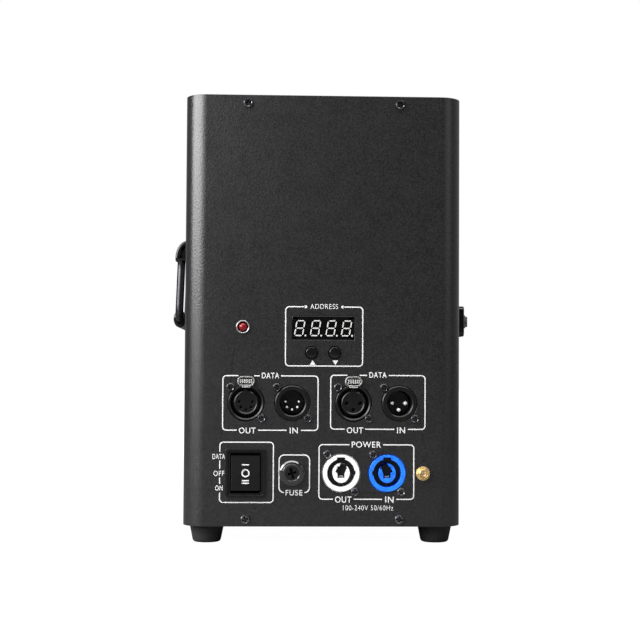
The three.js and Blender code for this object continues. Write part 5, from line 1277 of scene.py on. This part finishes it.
# PMMA, moulded and dyed a deep red: glossy, with clear small highlights on its crown.
red_acrylic = blank_material("pmma_moulded_red")
tree = red_acrylic.node_tree
place = node(tree, "ShaderNodeTexCoord", {}).outputs["Object"]
swirl = node(tree, "ShaderNodeTexNoise", {"Vector": place, "Scale": 1 / (1.5 * mm)})
tone = node(tree, "ShaderNodeMix", {
    "data_type": "RGBA", 0: swirl.outputs[0], 6: srgb("#66050c"), 7: srgb("#900b16"),
})
shader = node(tree, "ShaderNodeBsdfPrincipled", {
    "Base Color": tone.outputs[2], "Roughness": 0.1, "IOR": 1.49,
    "Specular IOR Level": 0.4, "Coat Weight": 0.3, "Coat Roughness": 0.06,
})
node(tree, "ShaderNodeOutputMaterial", {"Surface": shader.outputs[0]})
lens = turned([(0, 9), (2.85, 9), (2.85, 0.3), (2.2, -1.3), (0, -2.1)], [0.1, 1.2, 1.2], 48)
piece("lamp_dome", [placed(lens, lamp, inwards)], red_acrylic, "housing",
      ("lamp_lens",))

# Antenna jack: a threaded brass barrel, gold plated, held by a hexagon nut on the panel,
# with a white glazed insulator in its bore.
#
# Gold plate over nickel on turned brass: warm pale yellow, with soft bright glints.
gold = grained("gold_plated_brass", "#ffcb68", "#ffeebc", 0.24, 2.0, 0.01, Metallic=0.85)
jack = (antenna_place[0], 0, antenna_place[1])
thread_crest, thread_root = 3.175, 2.9
thread = np.linspace(-5.6, -2.6, 11)
ridges = [(thread_crest if i % 2 else thread_root, w) for i, w in enumerate(thread)]
barrel = turned([
    (0, 2), (2.3, -2), (2.3, -5.9), (thread_root, -6.0), *ridges, (thread_crest, -1.0),
    (thread_crest, 1.5), (5, 1.5), (5, 3), (thread_crest, 3), (thread_crest, 10), (0, 10),
], 0.08, 48)
washer = turned([
    (3.1, -0.5), (4.5, -0.5), (4.5, -0.02), (3.1, -0.02), (3.1, -0.5),
], [0.15, 0.1, 0.1], 48)
hexagon = slab(circle(4.35, steps=6), -2.2, -0.5, 0.25)
piece("antenna_barrel", placed_all([barrel, washer, hexagon], jack, inwards), gold, "housing",
      ("antenna_jack",))
core_rod = turned([
    (0, 1), (1.9, 1), (1.9, -3.0), (0.8, -3.0), (0.8, -1.5), (0, -1.5),
], [0.1, 0.15, 0.1, 0.1], 32)
piece("antenna_insulator", [placed(core_rod, jack, inwards)], alumina, "housing")

# Display board: a green circuit board on four posts with two push switches, and on it a
# four-digit display behind a dark filter that fills the window.
#
# FR4 glass-epoxy laminate under solder resist: green, glossy, with copper tracks that show
# as lighter lines on a 1.27 mm pitch.
circuit_board = blank_material("fr4_solder_resist_green")
tree = circuit_board.node_tree
place = node(tree, "ShaderNodeTexCoord", {}).outputs["Object"]
upended = node(tree, "ShaderNodeMapping", {"Vector": place, "Rotation": (np.pi / 2, 0, 0)})
tracks = node(tree, "ShaderNodeTexBrick", {
    "Vector": upended.outputs[0],
    "Color1": srgb("#1c5a35"), "Color2": srgb("#22683e"), "Mortar": srgb("#3d8a55"),
    "Scale": 1 / (5.08 * mm), "Mortar Size": 0.03, "Brick Width": 1.6, "Row Height": 0.25,
})
shader = node(tree, "ShaderNodeBsdfPrincipled", {
    "Base Color": tracks.outputs[0], "Roughness": 0.32,
})
node(tree, "ShaderNodeOutputMaterial", {"Surface": shader.outputs[0]})
dressed("display_board", circuit_board, 0.15)
dressed("control_board", circuit_board, 0.2)
# Smoked acrylic, cast: a black gloss with a trace of grey and hard reflections.
filter_black = grained("pmma_cast_smoke_filter", "#040405", "#070708", 0.08, 8.0, 0.004)
window = (0, 0, window_row)
glass = slab(rounded(-20.15, 20.15, -7.7, 7.7, 0.6, 4), 0.0, 8, 0.5)
piece("display_filter", [placed(glass, window, inwards)], filter_black, "housing")

# Digits: seven lit segments and a point for each of the four, white light-emitting diodes
# behind a diffuser.
#
# Epoxy with a white filler, cast over the diodes: milky, so it shines evenly and softly.
lit_segment = blank_material("led_diffuser_lit_white")
tree = lit_segment.node_tree
place = node(tree, "ShaderNodeTexCoord", {}).outputs["Object"]
speck = node(tree, "ShaderNodeTexNoise", {"Vector": place, "Scale": 1 / (0.8 * mm)})
tone = node(tree, "ShaderNodeMix", {
    "data_type": "RGBA", 0: speck.outputs[0], 6: srgb("#b6b6b4"), 7: srgb("#d2d2d0"),
})
shader = node(tree, "ShaderNodeBsdfPrincipled", {
    "Base Color": tone.outputs[2], "Roughness": 0.5,
    "Emission Color": tone.outputs[2], "Emission Strength": 0.08,
})
node(tree, "ShaderNodeOutputMaterial", {"Surface": shader.outputs[0]})
digit_width, digit_height, stroke, slant, end_gap = 5.9, 10.3, 0.76, 0.17, 0.42
segment_front, segment_back = -0.06, 0.3


def segment(x0, z0, x1, z1):
    """A bar from one point to another with pointed ends, leaned over by the slant."""
    start, end = np.array([x0, z0]), np.array([x1, z1])
    along = (end - start) / np.linalg.norm(end - start)
    half = stroke / 2
    side = np.array([-along[1], along[0]]) * half
    start, end = start + along * end_gap, end - along * end_gap
    tip = along * half
    outline = np.array([
        start, start + tip + side, end - tip + side, end, end - tip - side, start + tip - side,
    ])
    outline[:, 0] += slant * outline[:, 1]
    return outline


half_w, half_h = (digit_width - stroke) / 2, (digit_height - stroke) / 2
shapes = [segment(-half_w, z, half_w, z) for z in (half_h, 0, -half_h)]
shapes += [segment(s * half_w, z, s * half_w, z + half_h) for s in (-1, 1) for z in (-half_h, 0)]
shapes.append(circle(0.6, half_w + 1.1, -half_h, 20))
digit = [slab(shape, segment_front, segment_back, 0.0) for shape in shapes]
digits = []
for x in (-15.25, -5.05, 5.05, 15.0):
    digits += placed_all(digit, (x, 0, window_row - 0.2), inwards)
piece("display_digits", digits, lit_segment, "housing")

# Buttons: moulded caps with a low dome. A flange holds each behind the panel, and its tail
# ends over the board's switch.
cap = turned([
    (0, 7.2), (2, 7.2), (2, 2.7), (5, 2.7), (5, 1.5), (3.55, 1.5), (3.55, -1.6), (0, -1.9),
], [0.1, 0.1, 0.2, 0.2, 0, 0.5], 64)
for name, x in (("up", -button_column), ("down", button_column)):
    piece(f"{name}_button_cap", [placed(cap, (x, 0, button_row), inwards)], gloss_black,
          f"{name}_button", (f"button_{name}",))

# Power supply and igniter: a folded aluminium case with slots, and a block potted in a
# black plastic box.
dressed("power_supply", anodised, 0.4)
dressed("igniter_module", satin_black, 0.6)

# Screws of the housing: black pan heads through the rear panel into the flanges of the two
# plates, and the same in the front cover and along its seams. Each stands at its own turn,
# as screws do.
rearward = np.array([[1, 0, 0], [0, 0, 1], [0, -1.0, 0]])
frontward = np.array([[-1, 0, 0], [0, 0, 1], [0, 1.0, 0]])
leftward = np.array([[0, -1, 0], [0, 0, 1], [-1.0, 0, 0]])
plate_screw, seam_screw_y = (3.1, 1.9), seam - 5
corner_places = [(x, z) for x in (-49.5, 49.5) for z in (16.7, 285.5)]
housing_screws = [
    pan_screw(*plate_screw, x, 0, z, rearward, 0.35 + 1.3 * i)
    for i, (x, z) in enumerate(corner_places)
]
housing_screws += [
    pan_screw(*plate_screw, x, body_depth, z, frontward, 0.2 + 0.9 * i)
    for i, (x, z) in enumerate(corner_places)
]
for i, z in enumerate((40, 151.5, 263)):
    housing_screws += [
        pan_screw(*plate_screw, half_width, seam_screw_y, z, sideways, 0.5 + i),
        pan_screw(*plate_screw, -half_width, seam_screw_y, z, leftward, 0.1 + i),
    ]
piece("housing_screws", housing_screws, black_plate, "housing")

# Screws of the sockets: two smaller ones of the same kind hold each socket's flange, at
# opposite corners of it.
flange_screw, socket_screws = (2.75, 1.7), []
for columns, row, across, rise, start_turn in (
    (signal_columns, signal_row, 10, 10, 0.3),
    ((power_out, power_in), power_row, 9, 12, 0.7),
):
    for i, x in enumerate(columns):
        socket_screws += [
            pan_screw(*flange_screw, x + side * across, 0, row - side * rise, rearward,
                      start_turn + i + side)
            for side in (-1, 1)
        ]
piece("socket_screws", socket_screws, black_plate, "housing")

# Printing on the panel: white ink, screen printed on the coat. Thin frames group the
# sockets and controls, and short plain words name them.
line_width, ink, point_pitch, frame_corner = 0.7, 0.05, 0.4, 2.3


def ribbons(x0, x1, z0, z1, radius, gaps):
    """A frame's line as strips: points at an even pitch round a rounded rectangle, without
    those in a gap, each run of them a strip as wide as the line."""
    loop = distinct(rounded(x0, x1, z0, z1, radius, 10))
    loop = np.concatenate([loop, loop[:1]])
    reach = np.append(0, np.cumsum(np.linalg.norm(np.diff(loop, axis=0), axis=1)))
    even = np.linspace(0, reach[-1], int(reach[-1] / point_pitch))
    line = np.stack([np.interp(even, reach, loop[:, i]) for i in (0, 1)], axis=-1)
    along = np.gradient(line, axis=0)
    along /= np.linalg.norm(along, axis=1, keepdims=True)
    side = np.stack([-along[:, 1], along[:, 0]], axis=-1) * line_width / 2
    left_out = np.zeros(len(line), bool)
    for gap_x0, gap_x1, gap_z0, gap_z1 in gaps:
        across = (line[:, 0] > gap_x0) & (line[:, 0] < gap_x1)
        left_out |= across & (line[:, 1] > gap_z0) & (line[:, 1] < gap_z1)
    breaks = np.flatnonzero(np.diff(left_out.astype(int))) + 1
    strips = []
    for run in np.split(np.arange(len(line)), breaks):
        if left_out[run[0]] or len(run) < 2:
            continue
        section = [(1, -ink), (1, ink), (-1, ink), (-1, -ink), (1, -ink)]
        rows = np.stack([at_depth(line[run] + s * side[run], w) for s, w in section], axis=1)
        ends = [0 * rows[:1] + rows[i, :4].mean(axis=0) for i in (0, -1)]
        strips.append(np.concatenate([ends[0], rows, ends[1]]))
    return strips


def level_gap(x0, x1, z):
    """A gap in a level line."""
    return x0, x1, z - 3, z + 3


def upright_gap(x, z):
    """A gap for a small word in an upright line."""
    return x - 5, x + 5, z - 2.6, z + 2.6


# The frames' heights are taken from the body's lower edge, and so are the words'.
display_frame_top, switch_word_rows = 141.4, (44.8, 34.0, 24.6)
frames = [
    (-24.4, 25.5, 103.2, display_frame_top, frame_corner, [
        level_gap(-11.4, 12.5, display_frame_top),
    ]),
    (-64.5, -3.2, 61.7, 96.7, frame_corner, [
        level_gap(-40.5, -27.2, 97.1), level_gap(-54.35, -44.65, 97.1),
        level_gap(-55.1, -42.0, 61.3), level_gap(-23.0, -14.4, 61.3),
    ]),
    (5.0, 66.1, 62.6, 97.3, frame_corner, [
        level_gap(28.9, 42.2, 97.9), level_gap(15.7, 23.7, 97.9),
        level_gap(14.3, 27.3, 62.1), level_gap(46.2, 55.0, 62.1),
    ]),
    (-66.1, -31.7, 15.4, 54.0, frame_corner, [upright_gap(-65, z) for z in switch_word_rows]),
    (-28.0, -8.4, 21.8, 45.9, frame_corner + 1, [level_gap(-24.7, -11.9, 21.5)]),
    (-2.3, 58.9, 17.6, 52.6, frame_corner, [
        level_gap(17.6, 38.7, 52.7), level_gap(7.0, 19.9, 17.4), level_gap(38.7, 47.7, 17.4),
    ]),
]
print_grids = []
for frame_shape in frames:
    print_grids += ribbons(*frame_shape)
arrow = np.array([(-1.85, -1.3), (1.85, -1.3), (0, 1.7)])
print_grids += [mark(outline, ink) for outline in (
    circle(0.95, -11.4, display_frame_top, 24),
    circle(0.95, 12.5, display_frame_top, 24),
    arrow + (-6.8, 105.2),
    -arrow + (7.9, 105.6),
)]
piece("panel_frames", placed_all(print_grids, (0, 0, body_low), inwards), white_ink, "housing")


small_print, thinned, thickened, letter_space = 3.25, -0.006, 0.008, 1.12


def lettering(words, x, z, width, height):
    """A word as a thin solid: the text's outline is thickened, or thinned in small print so
    that it stays open, then extruded and scaled to a width and a height about its middle."""
    curve = bpy.data.curves.new(words, "FONT")
    curve.body = words
    curve.extrude = ink
    curve.offset = thinned if height < small_print else thickened
    curve.space_character = letter_space
    curve.resolution_u = 6
    holder = bpy.data.objects.new(words, curve)
    bpy.context.collection.objects.link(holder)
    bpy.context.view_layer.update()
    mesh = bpy.data.meshes.new_from_object(holder)
    bpy.data.objects.remove(holder)
    points = np.empty(3 * len(mesh.vertices))
    mesh.vertices.foreach_get("co", points)
    points = points.reshape(-1, 3)
    low, high = points.min(axis=0), points.max(axis=0)
    shape = (points - (low + high) / 2) / (high - low) * (width, height, 2 * ink)
    faces = [tuple(polygon.vertices) for polygon in mesh.polygons]
    bpy.data.meshes.remove(mesh)
    return placed(shape, (x, 0, z + body_low), inwards), faces


labels = [
    ("ADDRESS", 0.5, 141.7, 17.9, 3.2),
    ("DATA", -33.9, 96.9, 11.2, 3.6),
    ("DATA", 35.5, 97.6, 11.2, 3.6),
    ("OUT", -48.6, 61.5, 10.8, 3.8),
    ("IN", -18.7, 61.6, 5.2, 3.8),
    ("OUT", 20.8, 61.9, 10.6, 3.8),
    ("IN", 50.6, 62.0, 5.2, 3.8),
    ("DATA", -66.8, switch_word_rows[0], 8.0, 3.3),
    ("OFF", -66.6, switch_word_rows[1], 7.0, 3.3),
    ("ON", -66.5, switch_word_rows[2], 4.9, 3.3),
    ("FUSE", -18.3, 21.7, 10.8, 3.5),
    ("POWER", 28.2, 52.7, 18.9, 3.9),
    ("OUT", 13.4, 17.4, 10.6, 4.0),
    ("IN", 43.2, 17.4, 5.4, 4.0),
    ("100-240V 50/60Hz", 29.5, 12.1, 32.4, 3.2),
]
points, faces, start = [], [], 0
for label in labels:
    shape, outline = lettering(*label)
    points.append(shape)
    faces += [tuple(start + i for i in face) for face in outline]
    start += len(shape)
words_mesh = bpy.data.meshes.new("panel_words")
words_mesh.from_pydata(((np.concatenate(points) + panel) * mm).tolist(), [], faces)
finished("panel_words", words_mesh, white_ink, "housing", ())

# The box around everything that renders, the floor left out.
low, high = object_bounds()
